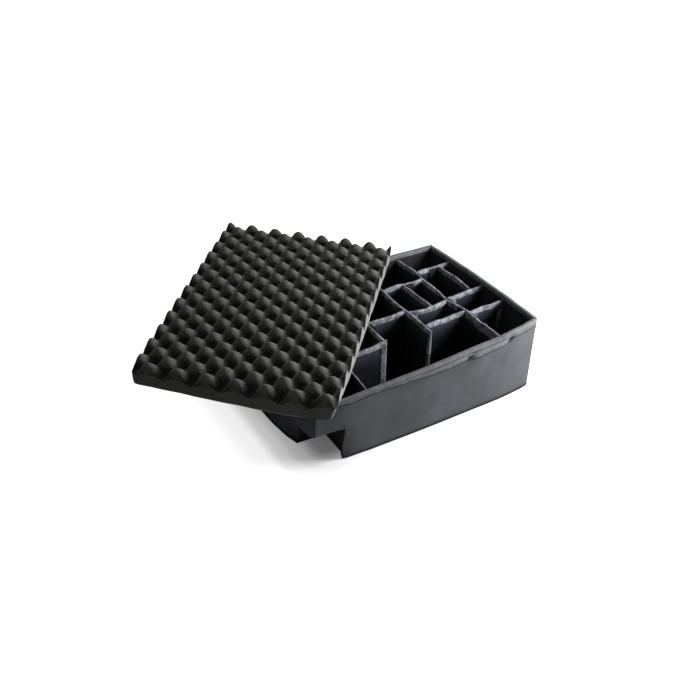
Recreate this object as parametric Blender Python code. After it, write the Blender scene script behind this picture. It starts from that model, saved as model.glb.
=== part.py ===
# Padded divider set for a wheeled hard case: a soft tray, its dividers and its egg-crate lid pad.
# +X runs along the front wall, +Y to the back, and the origin is the middle of the tray's foot.
import math

import bmesh
import bpy
import numpy as np
from mathutils import Matrix

MM = 0.001
GAP = 0.3 * MM

# Tray, measured over its rim hem
TRAY_LENGTH = 500 * MM
TRAY_DEPTH = 350 * MM
TRAY_HEIGHT = 160 * MM
FOOT_INSET = 2.6 * MM

# How far each wall bows out half way along, at the rim and at the foot
RIM_BOW = {"front": 18 * MM, "back": 8 * MM, "left": 7 * MM, "right": 6 * MM}
FOOT_BOW = {"front": 10 * MM, "back": 5 * MM, "left": 6 * MM, "right": 3 * MM}
FRONT_SKEW_POWER = 1.6
BOW_FULLNESS_POWER = 0.7
LONG_WALL_COUNT = 10
SHORT_WALL_COUNT = 6

# Wall and base layers, from the outside in
COVER_THICKNESS = 0.8 * MM
WALL_FOAM = 5 * MM
BASE_FOAM = 6 * MM
LINING_THICKNESS = 0.8 * MM
HEM_THICKNESS = 0.8 * MM
HEM_LIP = 12 * MM
SEAM_WIDTH = 1.2 * MM
PIPING_RADIUS = 1.1 * MM

# Wheel wells, cut up into the two left corners
WELL_LENGTH = 68.5 * MM
WELL_DEPTH = 82 * MM
WELL_HEIGHT = 70 * MM
WELL_FOAM = 5 * MM

# The rim over the front wheel well sinks under the pad, and so do the dividers near it,
# less and less to the back and to the right, where each sag ends this far from the left
CORNER_SAG = 19.2 * MM
RIM_SAG_END = 330 * MM
DIVIDER_SAG_END = 235 * MM

# Dividers
DIVIDER_DROP = 10 * MM
PANEL_THICKNESS = 5 * MM
TRIM_THICKNESS = 6 * MM
TRIM_BORDER = 10.5 * MM
TRIM_POST = 8 * MM
FLAP_LENGTH = 22 * MM
FLAP_THICKNESS = 2 * MM
# Room at the bowed walls for the two dividers that shift sideways
SHIFT_ROOM = 1.2 * MM

# Where the dividers stand, as shares of the tray's length from the left and of its depth from the front
LONG_SHARES = (0.242, 0.424, 0.610, 0.810)
LONG_3_FRONT_SHARE = 0.234
BAY_2_SHARE = 0.291
BAY_3_SHARE = 0.477
BAY_4_SHARES = {"front": 0.300, "middle": 0.460, "back": 0.731}
BAY_5_SHARES = {"front": 0.280, "middle": 0.470, "back": 0.800}
SHORT_SHARES = {"bay4": 0.716, "bay5": 0.936}

# Lid pad: an egg-crate sheet that lies askew on the left part of the rim
PAD_WIDTH = 367.5 * MM
PAD_LENGTH = 511 * MM
PAD_VALLEY = 18.5 * MM
PAD_CREST = 41 * MM
CREST_PITCH_ACROSS = 52.3 * MM
CREST_PITCH_ALONG = 43.8 * MM
FIRST_CREST_ACROSS = 6.4 * MM
FIRST_CREST_ALONG = 32 * MM
PAD_CORNER_CUT = 3 * MM
PAD_TURN = math.radians(-43.9)
PAD_CENTRE_SHARES = (-0.3627, 0.2919)

# Places that follow from the sizes
COVER_IN = HEM_THICKNESS + GAP
FOAM_IN = COVER_IN + COVER_THICKNESS + GAP
LINING_IN = FOAM_IN + WALL_FOAM + GAP
WALL_IN = LINING_IN + LINING_THICKNESS
WALL_FOOT = COVER_THICKNESS + GAP
BOARD_FOOT = WALL_FOOT
BASE_LINING_FOOT = BOARD_FOOT + BASE_FOAM + GAP
FLOOR = BASE_LINING_FOOT + LINING_THICKNESS
LIP_FOOT = TRAY_HEIGHT - HEM_LIP
HEM_UNDERSIDE = TRAY_HEIGHT - HEM_THICKNESS
DIVIDER_FOOT = FLOOR + GAP
PIPING_HEIGHT = PIPING_RADIUS + GAP / 2
SEAM_FOOT = PIPING_HEIGHT + PIPING_RADIUS + GAP
DIVIDER_TOP = TRAY_HEIGHT - DIVIDER_DROP
BORDER_FOOT = DIVIDER_TOP - TRIM_BORDER
MITRE = GAP / math.sqrt(2)
HALF_RUN = {"front": TRAY_LENGTH / 2, "back": TRAY_LENGTH / 2, "left": TRAY_DEPTH / 2, "right": TRAY_DEPTH / 2}
HALF_SPAN = {"front": TRAY_DEPTH / 2, "back": TRAY_DEPTH / 2, "left": TRAY_LENGTH / 2, "right": TRAY_LENGTH / 2}
OUTWARD = {"front": -1, "back": 1, "left": -1, "right": 1}
WELL_RIGHT = WELL_LENGTH - TRAY_LENGTH / 2
WELL_INNER = TRAY_DEPTH / 2 - WELL_DEPTH

COLOURS = {
    "outer_nylon": ((0.085, 0.087, 0.095), 0.5),
    "hem_nylon": ((0.12, 0.123, 0.133), 0.5),
    "wall_foam": ((0.03, 0.03, 0.03), 0.95),
    "loop_lining": ((0.022, 0.022, 0.025), 0.95),
    "divider_loop": ((0.016, 0.019, 0.026), 0.95),
    "divider_trim": ((0.2, 0.21, 0.235), 0.55),
    "seam": ((0.015, 0.015, 0.017), 0.8),
    "pad_foam": ((0.065, 0.063, 0.061), 0.95),
}


# Scene and mesh helpers
def clear_scene():
    for item in list(bpy.data.objects):
        bpy.data.objects.remove(item, do_unlink=True)


def material_for(name):
    found = bpy.data.materials.get(name)
    if found:
        return found
    material = bpy.data.materials.new(name)
    material.use_nodes = True
    colour, roughness = COLOURS[name]
    shader = material.node_tree.nodes["Principled BSDF"]
    shader.inputs["Base Color"].default_value = (*colour, 1)
    shader.inputs["Roughness"].default_value = roughness
    shader.inputs["Metallic"].default_value = 0
    return material


def finish_object(name, mesh, material):
    mesh.materials.append(material_for(material))
    item = bpy.data.objects.new(name, mesh)
    bpy.context.scene.collection.objects.link(item)
    return item


def mesh_from(name, points, faces):
    shape = bmesh.new()
    corners = [shape.verts.new(point) for point in points]
    for face in faces:
        shape.faces.new([corners[index] for index in face])
    bmesh.ops.recalc_face_normals(shape, faces=shape.faces)
    mesh = bpy.data.meshes.new(name)
    shape.to_mesh(mesh)
    shape.free()
    return mesh


# A solid made of the kept cells of a grid, with a face wherever a kept cell has no neighbour
def cell_solid(name, counts, kept, corner, material):
    index = {}
    points = []
    faces = []
    sides = [(axis, step) for axis in range(3) for step in (0, 1)]

    def point_number(key):
        if key not in index:
            index[key] = len(points)
            points.append(corner(*key))
        return index[key]

    def is_kept(cell):
        inside = all(0 <= cell[axis] < counts[axis] for axis in range(3))
        return inside and kept(*cell)

    for cell in np.ndindex(*counts):
        if not is_kept(cell):
            continue
        for axis, step in sides:
            beyond = list(cell)
            beyond[axis] += 2 * step - 1
            if is_kept(beyond):
                continue
            first, second = [other for other in range(3) if other != axis]
            keys = []
            for along, across in ((0, 0), (1, 0), (1, 1), (0, 1)):
                key = list(cell)
                key[axis] += step
                key[first] += along
                key[second] += across
                keys.append(tuple(key))
            faces.append([point_number(key) for key in keys])
    return finish_object(name, mesh_from(name, points, faces), material)


# Form of the tray
def inset(z):
    return FOOT_INSET * (1 - z / TRAY_HEIGHT)


def bow(side, z):
    return FOOT_BOW[side] + (RIM_BOW[side] - FOOT_BOW[side]) * z / TRAY_HEIGHT


# Places along a wall: even steps, and the ends of the wheel wells
def stations(side):
    half = HALF_RUN[side]
    segments = LONG_WALL_COUNT if side in ("front", "back") else SHORT_WALL_COUNT
    places = list(np.linspace(-half, half, segments + 1))
    cuts = [WELL_RIGHT] if side in ("front", "back") else [-WELL_INNER, WELL_INNER]
    return sorted(places + cuts)


def swell(side, run):
    places = stations(side)
    half = HALF_RUN[side]
    skew = FRONT_SKEW_POWER if side == "front" else 1
    values = []
    for place in places:
        share = min(max((place + half) / (2 * half), 0), 1)
        values.append(max(math.sin(math.pi * share ** skew), 0) ** BOW_FULLNESS_POWER)
    return float(np.interp(run, places, values))


# Where a wall's layer lies across the tray, at a place along the wall and a height
def wall_face(side, run, inward, z):
    reach = HALF_SPAN[side] - inset(z) - inward + bow(side, z) * swell(side, run)
    return OUTWARD[side] * reach


# A point let down by the sag: by nothing below the wheel wells, and by all of it at the rim
def settled(x, y, z, sag_end=RIM_SAG_END):
    back_edge = TRAY_DEPTH / 2 - WALL_IN
    across = (sag_end - TRAY_LENGTH / 2 - x) / (sag_end - WELL_LENGTH)
    along = max((back_edge - y) / (back_edge + TRAY_DEPTH / 2), 0)
    sag = CORNER_SAG * min(max(across, 0), 1) * along
    return (x, y, z - sag * max(z - WELL_HEIGHT, 0) / (TRAY_HEIGHT - WELL_HEIGHT))


# A point of a wall's layer, with its ends mitred into the corners
def wall_point(side, run, inward, z):
    limit = HALF_RUN[side] - inset(z) - inward - MITRE
    run = min(max(run, -limit), limit)
    across = wall_face(side, run, inward, z)
    if side in ("front", "back"):
        return settled(run, across, z)
    return settled(across, run, z)


# True for a cell of a wall that the wheel wells cut away
def in_well(side, run, z):
    if z > WELL_HEIGHT or side == "right":
        return False
    if side == "left":
        return abs(run) > WELL_INNER
    return run < WELL_RIGHT


def wall_layer(name, side, inwards, heights, material, kept_section):
    runs = stations(side)

    def kept(i, j, k):
        middle_run = (runs[i] + runs[i + 1]) / 2
        middle_height = (heights[k] + heights[k + 1]) / 2
        return kept_section(j, k) and not in_well(side, middle_run, middle_height)

    def corner(i, j, k):
        return wall_point(side, runs[i], inwards[j], heights[k])

    counts = (len(runs) - 1, len(inwards) - 1, len(heights) - 1)
    return cell_solid(name, counts, kept, corner, material)


def make_walls():
    whole = [WALL_FOOT, WELL_HEIGHT, HEM_UNDERSIDE - GAP]
    below_hem = [WALL_FOOT, WELL_HEIGHT, LIP_FOOT - GAP]
    hem_in = [0, HEM_THICKNESS, LINING_IN, WALL_IN]
    hem_heights = [LIP_FOOT, HEM_UNDERSIDE, TRAY_HEIGHT]

    def everywhere(j, k):
        return True

    def hem_section(j, k):
        return k == 1 or j != 1

    for side in HALF_RUN:
        cover = [COVER_IN, COVER_IN + COVER_THICKNESS]
        foam = [FOAM_IN, FOAM_IN + WALL_FOAM]
        lining = [LINING_IN, WALL_IN]
        wall_layer(f"{side}_wall_cover", side, cover, whole, "outer_nylon", everywhere)
        wall_layer(f"{side}_wall_foam", side, foam, whole, "wall_foam", everywhere)
        wall_layer(f"{side}_wall_lining", side, lining, below_hem, "loop_lining", everywhere)
        wall_layer(f"{side}_rim_hem", side, hem_in, hem_heights, "hem_nylon", hem_section)


# A base layer: the tray's outline, with the two wheel wells cut out by their size and a margin
def base_layer(name, inward, margin, foot, thickness, material):
    cut_right = WELL_RIGHT + margin
    cut_inner = WELL_INNER - margin
    columns = sorted(set(stations("front")) - {WELL_RIGHT} | {cut_right})
    rows = sorted(set(stations("left")) - {WELL_INNER, -WELL_INNER} | {cut_inner, -cut_inner})
    heights = [foot, foot + thickness]

    def kept(i, j, k):
        middle_x = (columns[i] + columns[i + 1]) / 2
        middle_y = (rows[j] + rows[j + 1]) / 2
        return middle_x > cut_right or abs(middle_y) < cut_inner

    def corner(i, j, k):
        x, y, z = columns[i], rows[j], heights[k]
        if i == 0:
            x = wall_face("left", rows[j], inward, z)
        elif i == len(columns) - 1:
            x = wall_face("right", rows[j], inward, z)
        if j == 0:
            y = wall_face("front", columns[i], inward, z)
        elif j == len(rows) - 1:
            y = wall_face("back", columns[i], inward, z)
        return (x, y, z)

    counts = (len(columns) - 1, len(rows) - 1, 1)
    return cell_solid(name, counts, kept, corner, material)


def make_base():
    inner = WALL_IN + GAP
    margin = WELL_FOAM + GAP
    base_layer("base_cover", COVER_IN, 0, 0, COVER_THICKNESS, "outer_nylon")
    base_layer("base_board", inner, margin, BOARD_FOOT, BASE_FOAM, "wall_foam")
    base_layer("base_lining", inner, margin, BASE_LINING_FOOT, LINING_THICKNESS, "loop_lining")


# A padded board with its six faces given by functions of the other two places
def board(name, xs, ys, zs, material):
    def corner(i, j, k):
        z = zs[k]
        y = ys[j](z)
        x = xs[i](z)
        return settled(x, y, z)

    counts = (1, 1, len(zs) - 1)
    return cell_solid(name, counts, lambda i, j, k: True, corner, material)


def fixed(value):
    return lambda z: value


def make_well(side):
    outward = OUTWARD[side]
    inner = outward * WELL_INNER
    inner_face = outward * (WELL_INNER - WELL_FOAM)
    right_face = WELL_RIGHT + WELL_FOAM
    upright = [WALL_FOOT, WELL_HEIGHT - GAP]
    roof = [WELL_HEIGHT, WELL_HEIGHT + WELL_FOAM]

    def at_wall(z):
        return wall_face(side, WELL_RIGHT, WALL_IN + GAP, z)

    def at_wall_corner(z):
        return wall_face(side, -TRAY_LENGTH / 2, WALL_IN + GAP, z)

    def at_left_wall(z):
        return wall_face("left", inner, WALL_IN + GAP, z)

    def at_left_corner(z):
        return wall_face("left", outward * TRAY_DEPTH / 2, WALL_IN + GAP, z)

    board(f"{side}_well_right_panel", [fixed(WELL_RIGHT), fixed(right_face)], [at_wall, fixed(inner_face)],
          upright, "loop_lining")
    board(f"{side}_well_inner_panel", [at_left_wall, fixed(WELL_RIGHT - GAP)], [fixed(inner), fixed(inner_face)],
          upright, "loop_lining")
    board(f"{side}_well_roof", [at_left_corner, fixed(right_face)], [at_wall_corner, fixed(inner_face)],
          roof, "loop_lining")


# Seams: a cord of fabric down each corner, and piping round the foot and the wheel wells
def make_corner_seam(name, side, end, foot):
    heights = [foot, LIP_FOOT - GAP] if foot >= WELL_HEIGHT else [foot, WELL_HEIGHT, LIP_FOOT - GAP]
    steps = [MITRE, MITRE + SEAM_WIDTH]

    def corner(i, j, k):
        z = heights[k]
        x = end * (TRAY_LENGTH / 2 - inset(z) - COVER_IN + steps[i])
        y = OUTWARD[side] * (TRAY_DEPTH / 2 - inset(z) - COVER_IN + steps[j])
        return settled(x, y, z)

    cell_solid(name, (1, 1, len(heights) - 1), lambda i, j, k: True, corner, "seam")


def make_foot_piping():
    outside = COVER_IN - GAP - PIPING_RADIUS
    clear = GAP + PIPING_RADIUS
    runs = stations("front")[1:-1]
    after_well = [run for run in runs if run > WELL_RIGHT]
    side_runs = stations("right")[1:-1]
    corner_x = HALF_SPAN["right"] - inset(0) - outside
    corner_y = HALF_SPAN["front"] - inset(0) - outside
    well_x = WELL_RIGHT - clear
    well_y = WELL_INNER + clear
    middle = [run for run in side_runs if abs(run) < WELL_INNER]

    def on_wall(side, run):
        across = wall_face(side, run, outside, 0)
        return (run, across) if side in ("front", "back") else (across, run)

    path = [on_wall("front", well_x)]
    path += [on_wall("front", run) for run in after_well]
    path += [(corner_x, -corner_y)]
    path += [on_wall("right", run) for run in side_runs]
    path += [(corner_x, corner_y)]
    path += [on_wall("back", run) for run in reversed(after_well)]
    path += [on_wall("back", well_x), (well_x, well_y), on_wall("left", well_y)]
    path += [on_wall("left", run) for run in reversed(middle)]
    path += [on_wall("left", -well_y), (well_x, -well_y)]

    curve = bpy.data.curves.new("foot_piping", "CURVE")
    curve.dimensions = "3D"
    curve.bevel_depth = PIPING_RADIUS
    curve.bevel_resolution = 0
    spline = curve.splines.new("POLY")
    spline.points.add(len(path) - 1)
    for point, (x, y) in zip(spline.points, path):
        point.co = (x, y, PIPING_HEIGHT, 1)
    spline.use_cyclic_u = True
    curve.materials.append(material_for("seam"))
    item = bpy.data.objects.new("foot_piping", curve)
    bpy.context.scene.collection.objects.link(item)


# One divider: a padded panel in a nylon trim, whose two ends turn into hook flaps.
# start and finish give the faces that the ends meet, from the place across and the height.
def make_divider(name, axis, centre, start, finish, flaps):
    heights = [DIVIDER_FOOT, WELL_HEIGHT, BORDER_FOOT, DIVIDER_TOP]
    panel_heights = [DIVIDER_FOOT, WELL_HEIGHT, BORDER_FOOT - GAP]
    half = TRIM_THICKNESS / 2
    reach = half + FLAP_LENGTH
    across_places = [-reach, -half, half, reach]
    panel_places = [-PANEL_THICKNESS / 2, PANEL_THICKNESS / 2]
    steps = [GAP, GAP + FLAP_THICKNESS, GAP + TRIM_POST]
    panel_step = 2 * GAP + TRIM_POST

    def world(run, across, z):
        if axis == "x":
            return settled(run, centre + across, z, DIVIDER_SAG_END)
        return settled(centre + across, run, z, DIVIDER_SAG_END)

    def trim_corner(i, j, k):
        across, z = across_places[j], heights[k]
        if i < 3:
            return world(start(centre + across, z) + steps[i], across, z)
        return world(finish(centre + across, z) - steps[5 - i], across, z)

    def trim_kept(i, j, k):
        if j == 1:
            return i != 2 or k == 2
        side = j - 1
        return (i == 0 and flaps[0] == side) or (i == 4 and flaps[1] == side)

    def panel_corner(i, j, k):
        across, z = panel_places[j], panel_heights[k]
        if i == 0:
            return world(start(centre + across, z) + panel_step, across, z)
        return world(finish(centre + across, z) - panel_step, across, z)

    cell_solid(f"{name}_trim", (5, 3, 3), trim_kept, trim_corner, "divider_trim")
    cell_solid(f"{name}_panel", (1, 1, 2), lambda i, j, k: True, panel_corner, "divider_loop")


def on_tray_wall(side):
    return lambda place, z: wall_face(side, place, WALL_IN, z)


def on_divider(centre, side):
    return lambda place, z: centre + side * TRIM_THICKNESS / 2


def short_of(face, room):
    return lambda place, z: face(place, z) + room


def from_left(share):
    return TRAY_LENGTH * (share - 0.5)


def from_front(share):
    return TRAY_DEPTH * (share - 0.5)


def make_dividers():
    long_1, long_2, long_3, long_4 = [from_left(share) for share in LONG_SHARES]
    bay_2 = from_front(BAY_2_SHARE)
    front, back, right = [on_tray_wall(side) for side in ("front", "back", "right")]
    long_3_front = from_front(LONG_3_FRONT_SHARE)
    bay_2_right = long_2 + TRIM_THICKNESS / 2 + GAP

    front_room, back_room = short_of(front, SHIFT_ROOM), short_of(back, -SHIFT_ROOM)

    make_divider("long_divider_1", "y", long_1, front_room, back_room, (1, 1))
    make_divider("long_divider_2", "y", long_2, on_divider(bay_2, 1), back_room, (-1, -1))
    make_divider("long_divider_3", "y", long_3, lambda place, z: long_3_front, back, (0, -1))
    make_divider("long_divider_4", "y", long_4, front, back, (-1, 1))
    make_divider("bay2_cross", "x", bay_2, on_divider(long_1, 1), lambda place, z: bay_2_right, (-1, 0))
    make_divider("bay3_cross", "x", from_front(BAY_3_SHARE), on_divider(long_2, 1), on_divider(long_3, -1), (-1, 1))
    for place, share in BAY_4_SHARES.items():
        row = from_front(share)
        make_divider(f"bay4_cross_{place}", "x", row, on_divider(long_3, 1), on_divider(long_4, -1), (-1, 1))
    for place, share in BAY_5_SHARES.items():
        row = from_front(share)
        make_divider(f"bay5_cross_{place}", "x", row, on_divider(long_4, 1), right, (-1, 1))
    for bay, shares, side in (("bay4", BAY_4_SHARES, 1), ("bay5", BAY_5_SHARES, -1)):
        middle = on_divider(from_front(shares["middle"]), 1)
        rear = on_divider(from_front(shares["back"]), -1)
        make_divider(f"{bay}_short", "y", from_left(SHORT_SHARES[bay]), middle, rear, (side, side))


# Lid pad: crests and valleys in a chequered pattern on top, and a flat underside
def crest_places(length, first, pitch):
    step = pitch / 2
    count = int((length - first) / step) + 1
    before = [first - step * number for number in range(1, int(first / step) + 1)]
    inside = [place for place in before + [first + step * number for number in range(count)]
              if step / 4 < place < length - step / 4]
    return [0, *sorted(inside), length]


def pad_height(across, along):
    wave_across = math.cos(2 * math.pi * (across - FIRST_CREST_ACROSS) / CREST_PITCH_ACROSS)
    wave_along = math.cos(2 * math.pi * (along - FIRST_CREST_ALONG) / CREST_PITCH_ALONG)
    middle = (PAD_CREST + PAD_VALLEY) / 2
    return middle + (PAD_CREST - PAD_VALLEY) / 2 * wave_across * wave_along


def make_pad():
    columns = crest_places(PAD_WIDTH, FIRST_CREST_ACROSS, CREST_PITCH_ACROSS)
    rows = crest_places(PAD_LENGTH, FIRST_CREST_ALONG, CREST_PITCH_ALONG)
    shape = bmesh.new()

    def vertex(across, along):
        height = pad_height(across, along)
        x = across - PAD_WIDTH / 2
        y = along - PAD_LENGTH / 2
        if across in (0, PAD_WIDTH) and along in (0, PAD_LENGTH):
            x -= math.copysign(PAD_CORNER_CUT, x)
            y -= math.copysign(PAD_CORNER_CUT, y)
        return shape.verts.new((x, y, height))

    grid = [[vertex(across, along) for along in rows] for across in columns]
    for i in range(len(columns) - 1):
        for j in range(len(rows) - 1):
            middle = vertex((columns[i] + columns[i + 1]) / 2, (rows[j] + rows[j + 1]) / 2)
            ring = [grid[i][j], grid[i + 1][j], grid[i + 1][j + 1], grid[i][j + 1]]
            for first, second in zip(ring, ring[1:] + ring[:1]):
                shape.faces.new((first, second, middle))
    edge = [edge for edge in shape.edges if edge.is_boundary]
    wall = bmesh.ops.extrude_edge_only(shape, edges=edge)["geom"]
    for vert in wall:
        if isinstance(vert, bmesh.types.BMVert):
            vert.co.z = 0
    underside = [edge for edge in shape.edges if edge.is_boundary]
    bmesh.ops.contextual_create(shape, geom=underside)
    bmesh.ops.recalc_face_normals(shape, faces=shape.faces)
    mesh = bpy.data.meshes.new("lid_pad")
    shape.to_mesh(mesh)
    shape.free()
    pad = finish_object("lid_pad", mesh, "pad_foam")

    back_edge = TRAY_DEPTH / 2 - WALL_IN
    slope = CORNER_SAG / (back_edge + TRAY_DEPTH / 2)
    x = PAD_CENTRE_SHARES[0] * TRAY_LENGTH
    y = PAD_CENTRE_SHARES[1] * TRAY_DEPTH
    z = TRAY_HEIGHT + GAP + (y - back_edge) * slope
    tilt = Matrix.Rotation(math.atan(slope), 4, "X")
    turn = Matrix.Rotation(PAD_TURN, 4, "Z")
    pad.matrix_world = Matrix.Translation((x, y, z)) @ tilt @ turn


def main():
    clear_scene()
    make_base()
    make_walls()
    make_well("front")
    make_well("back")
    for side in ("front", "back"):
        make_corner_seam(f"{side}_left_corner_seam", side, -1, WELL_HEIGHT)
        make_corner_seam(f"{side}_right_corner_seam", side, 1, SEAM_FOOT)
    make_foot_piping()
    make_dividers()
    make_pad()


main()
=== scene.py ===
# Padded divider set for a wheeled case: a soft tray, its hook-and-loop dividers and an egg-crate lid pad.
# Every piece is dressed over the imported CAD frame, in metres: +X along the front wall, +Y to the back.
import math

import bmesh
import bpy
import numpy as np
from mathutils import Matrix, Vector


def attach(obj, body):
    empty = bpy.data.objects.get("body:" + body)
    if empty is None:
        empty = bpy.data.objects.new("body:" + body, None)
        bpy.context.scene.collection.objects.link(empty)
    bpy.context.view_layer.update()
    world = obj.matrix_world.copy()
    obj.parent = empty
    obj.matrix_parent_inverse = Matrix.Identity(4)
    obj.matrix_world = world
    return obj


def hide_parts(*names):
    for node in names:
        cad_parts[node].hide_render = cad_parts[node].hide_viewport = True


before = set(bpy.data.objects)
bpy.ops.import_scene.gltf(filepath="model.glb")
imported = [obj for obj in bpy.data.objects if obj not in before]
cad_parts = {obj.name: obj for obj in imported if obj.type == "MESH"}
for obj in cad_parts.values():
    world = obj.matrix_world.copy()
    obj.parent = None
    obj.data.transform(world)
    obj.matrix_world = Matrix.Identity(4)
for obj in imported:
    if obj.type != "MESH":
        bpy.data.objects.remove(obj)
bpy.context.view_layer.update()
mm = 0.001


# The tray's form, in the frame's own sizes
tray = {
    "length": 500 * mm, "depth": 350 * mm, "height": 160 * mm, "footInset": 2.6 * mm,
    "rimBow": {"front": 18 * mm, "back": 8 * mm, "left": 7 * mm, "right": 6 * mm},
    "footBow": {"front": 10 * mm, "back": 5 * mm, "left": 6 * mm, "right": 3 * mm},
    "bowSkew": {"front": 1.6, "back": 1.0, "left": 1.0, "right": 1.0},
    "bowFullness": 0.7, "cornerRadius": 3 * mm, "cornerStart": 0.9,
    "wellLength": 68.5 * mm, "wellDepth": 82 * mm, "wellHeight": 70 * mm,
    "cornerSag": 19.2 * mm, "rimSagEnd": 330 * mm, "dividerSagEnd": 235 * mm,
}
depths = {"coverOut": 1.1 * mm, "coverIn": 1.9 * mm, "foamOut": 2.2 * mm, "foamIn": 7.2 * mm,
          "liningOut": 7.5 * mm, "liningIn": 8.3 * mm}
wellRight = tray["wellLength"] - tray["length"] / 2
wellInner = tray["depth"] / 2 - tray["wellDepth"]
backEdge = tray["depth"] / 2 - depths["liningIn"]
halves = (tray["length"] / 2, tray["depth"] / 2)
halfRun = dict(zip(("front", "back", "left", "right"), (halves[0], halves[0], halves[1], halves[1])))
halfSpan = dict(zip(halfRun, (halves[1], halves[1], halves[0], halves[0])))
outward = {"front": -1, "back": 1, "left": -1, "right": 1}


def trayInset(z):
    return tray["footInset"] * (1 - z / tray["height"])


def trayBow(side, z):
    return tray["footBow"][side] + (tray["rimBow"][side] - tray["footBow"][side]) * z / tray["height"]


def traySwell(side, run):
    half = halfRun[side]
    share = np.clip((run + half) / (2 * half), 0, 1)
    return np.maximum(np.sin(np.pi * share ** tray["bowSkew"][side]), 0) ** tray["bowFullness"]


def wallReach(side, run, inward, z):
    return halfSpan[side] - trayInset(z) - inward + trayBow(side, z) * traySwell(side, run)


# The rim and the dividers sink over the front wheel well
def settle(x, y, z, sagEnd):
    across = np.clip((sagEnd - halves[0] - x) / (sagEnd - tray["wellLength"]), 0, 1)
    along = np.maximum((backEdge - y) / (backEdge + halves[1]), 0)
    sag = tray["cornerSag"] * across * along
    return z - sag * np.maximum(z - tray["wellHeight"], 0) / (tray["height"] - tray["wellHeight"])


# How the soft edges of the front wheel well hang, in mm off the plain cut: places, then sizes
notch = {
    "leftRoof": ((0, 0.14, 0.77, 1), (-12.4, -12.4, -3, 6.5)),     # roof edge on the left wall, inner end to corner
    "frontRoof": ((0, 0.18, 0.55, 1), (0.5, 2, 3.7, 6.5)),         # roof edge on the front wall, right end to corner
    "innerLean": ((0, 70, 120), (3.5, -11.6, 0)),                  # the inner edge leans to the front with height
    "rightLean": ((0, 6, 30, 48, 70, 120), (-8.5, -9, -10.5, -7.5, -5.1, 0)),
    "frontCurl": ((-192, -187, -182, -175, -155, -134), (6.5, 4.5, 2.5, 1.5, 1, 0)),
    "frontFoot": ((60, 97, 173, 228, 243, 252), (0, -0.6, -4, -5, -4, -3)),       # the foot swells out at the right end
    "leftCurl": ((-150, -93, -71, -51, -38, -24, 0, 26, 60, 150), (0, 9, 3.9, 1.8, 0.9, -1.1, -2, -3, -3, 0)),
    "curlHeight": ((0, 58, 110), (1, 0.6, 0)),
    "reach": 25 * mm, "fade": 50 * mm, "footFade": 110 * mm,
}


def curveOf(name, value):
    return np.interp(value, *notch[name])


# 0 before start and 1 past it, over a stretch
def ramp(value, start, stretch):
    return np.clip((value - start) / stretch, 0, 1)


def hang(x, y, z, level=None):
    u = ramp(wellRight - x, 0, tray["wellLength"])
    v = ramp(-y, wellInner, tray["wellDepth"])
    beside = np.exp(-(np.maximum(y + wellInner, 0) + np.maximum(x - wellRight, 0)) / notch["reach"])
    above = ramp(z, tray["wellHeight"], notch["fade"])
    tall = ramp(z, 0, tray["wellHeight"]) * (1 - above * above * (3 - 2 * above))
    corner = notch["leftRoof"][1][-1]
    rise = (u * curveOf("leftRoof", v) + v * (curveOf("frontRoof", u) - corner * u)) * beside * tall
    leanY = curveOf("innerLean", z / mm) * u * np.exp(-np.abs(y + wellInner) / (30 * mm))
    leanX = curveOf("rightLean", z / mm) * ramp(-y, 160 * mm, 10 * mm) * np.exp(-np.abs(x - wellRight) / (22 * mm))
    curlX = curveOf("leftCurl", y / mm) * curveOf("curlHeight", z / mm) * ramp(-x, 225 * mm, 20 * mm)
    curlY = curveOf("frontCurl", x / mm) * curveOf("curlHeight", z / mm) * (x < -100 * mm)
    curlY = curlY + curveOf("frontFoot", x / mm) * np.clip(1 - z / notch["footFade"], 0, 1)
    curlY = curlY * ramp(-y, 150 * mm, 15 * mm)
    return x + (leanX + curlX) * mm, y + (leanY + curlY) * mm, (z if level is None else level) + rise * mm


# A place on a wall: share runs from -1 to 1 along it, and the last tenth closes into the mitred corner
def wallPlace(side, share, inward, z, stand=0.0):
    half, bend = halfRun[side], tray["cornerStart"]
    limit = half - trayInset(z) - inward
    size = np.abs(share)
    run = np.where(size <= bend, size * half, bend * half + (size - bend) / (1 - bend) * (limit - bend * half))
    radius = np.maximum(tray["cornerRadius"] - inward, 0.4 * mm)
    left = np.clip(limit - run, 0, radius)
    turn = np.pi / 4 * (1 - left / radius)
    rounded = limit - run < radius
    reach = wallReach(side, np.sign(share) * run, inward, z) + stand
    run = np.where(rounded, limit - radius + radius * np.sin(turn), run) * np.sign(share)
    across = outward[side] * (reach - np.where(rounded, radius * (1 - np.cos(turn)), 0))
    return (run, across) if side in ("front", "back") else (across, run)


# A place on a wall or its hem after it has sunk over the front wheel well
def sunkPlace(side, share, inward, z, stand=0.0):
    x, y = wallPlace(side, share, inward, z, stand)
    return x, y, settle(x, y, z, tray["rimSagEnd"])


# A smooth random field: a few plane waves of about one wavelength, the same on each run
def ripple(u, v, wavelength, seed, size=1.0, count=7):
    random = np.random.default_rng(seed)
    total = np.zeros(np.broadcast(u, v).shape)
    for _ in range(count):
        angle = random.uniform(0, 2 * np.pi)
        length = wavelength * random.uniform(0.7, 1.5)
        phase = random.uniform(0, 2 * np.pi)
        total = total + np.cos(2 * np.pi * (u * np.cos(angle) + v * np.sin(angle)) / length + phase)
    return total / math.sqrt(count) * size


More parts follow.
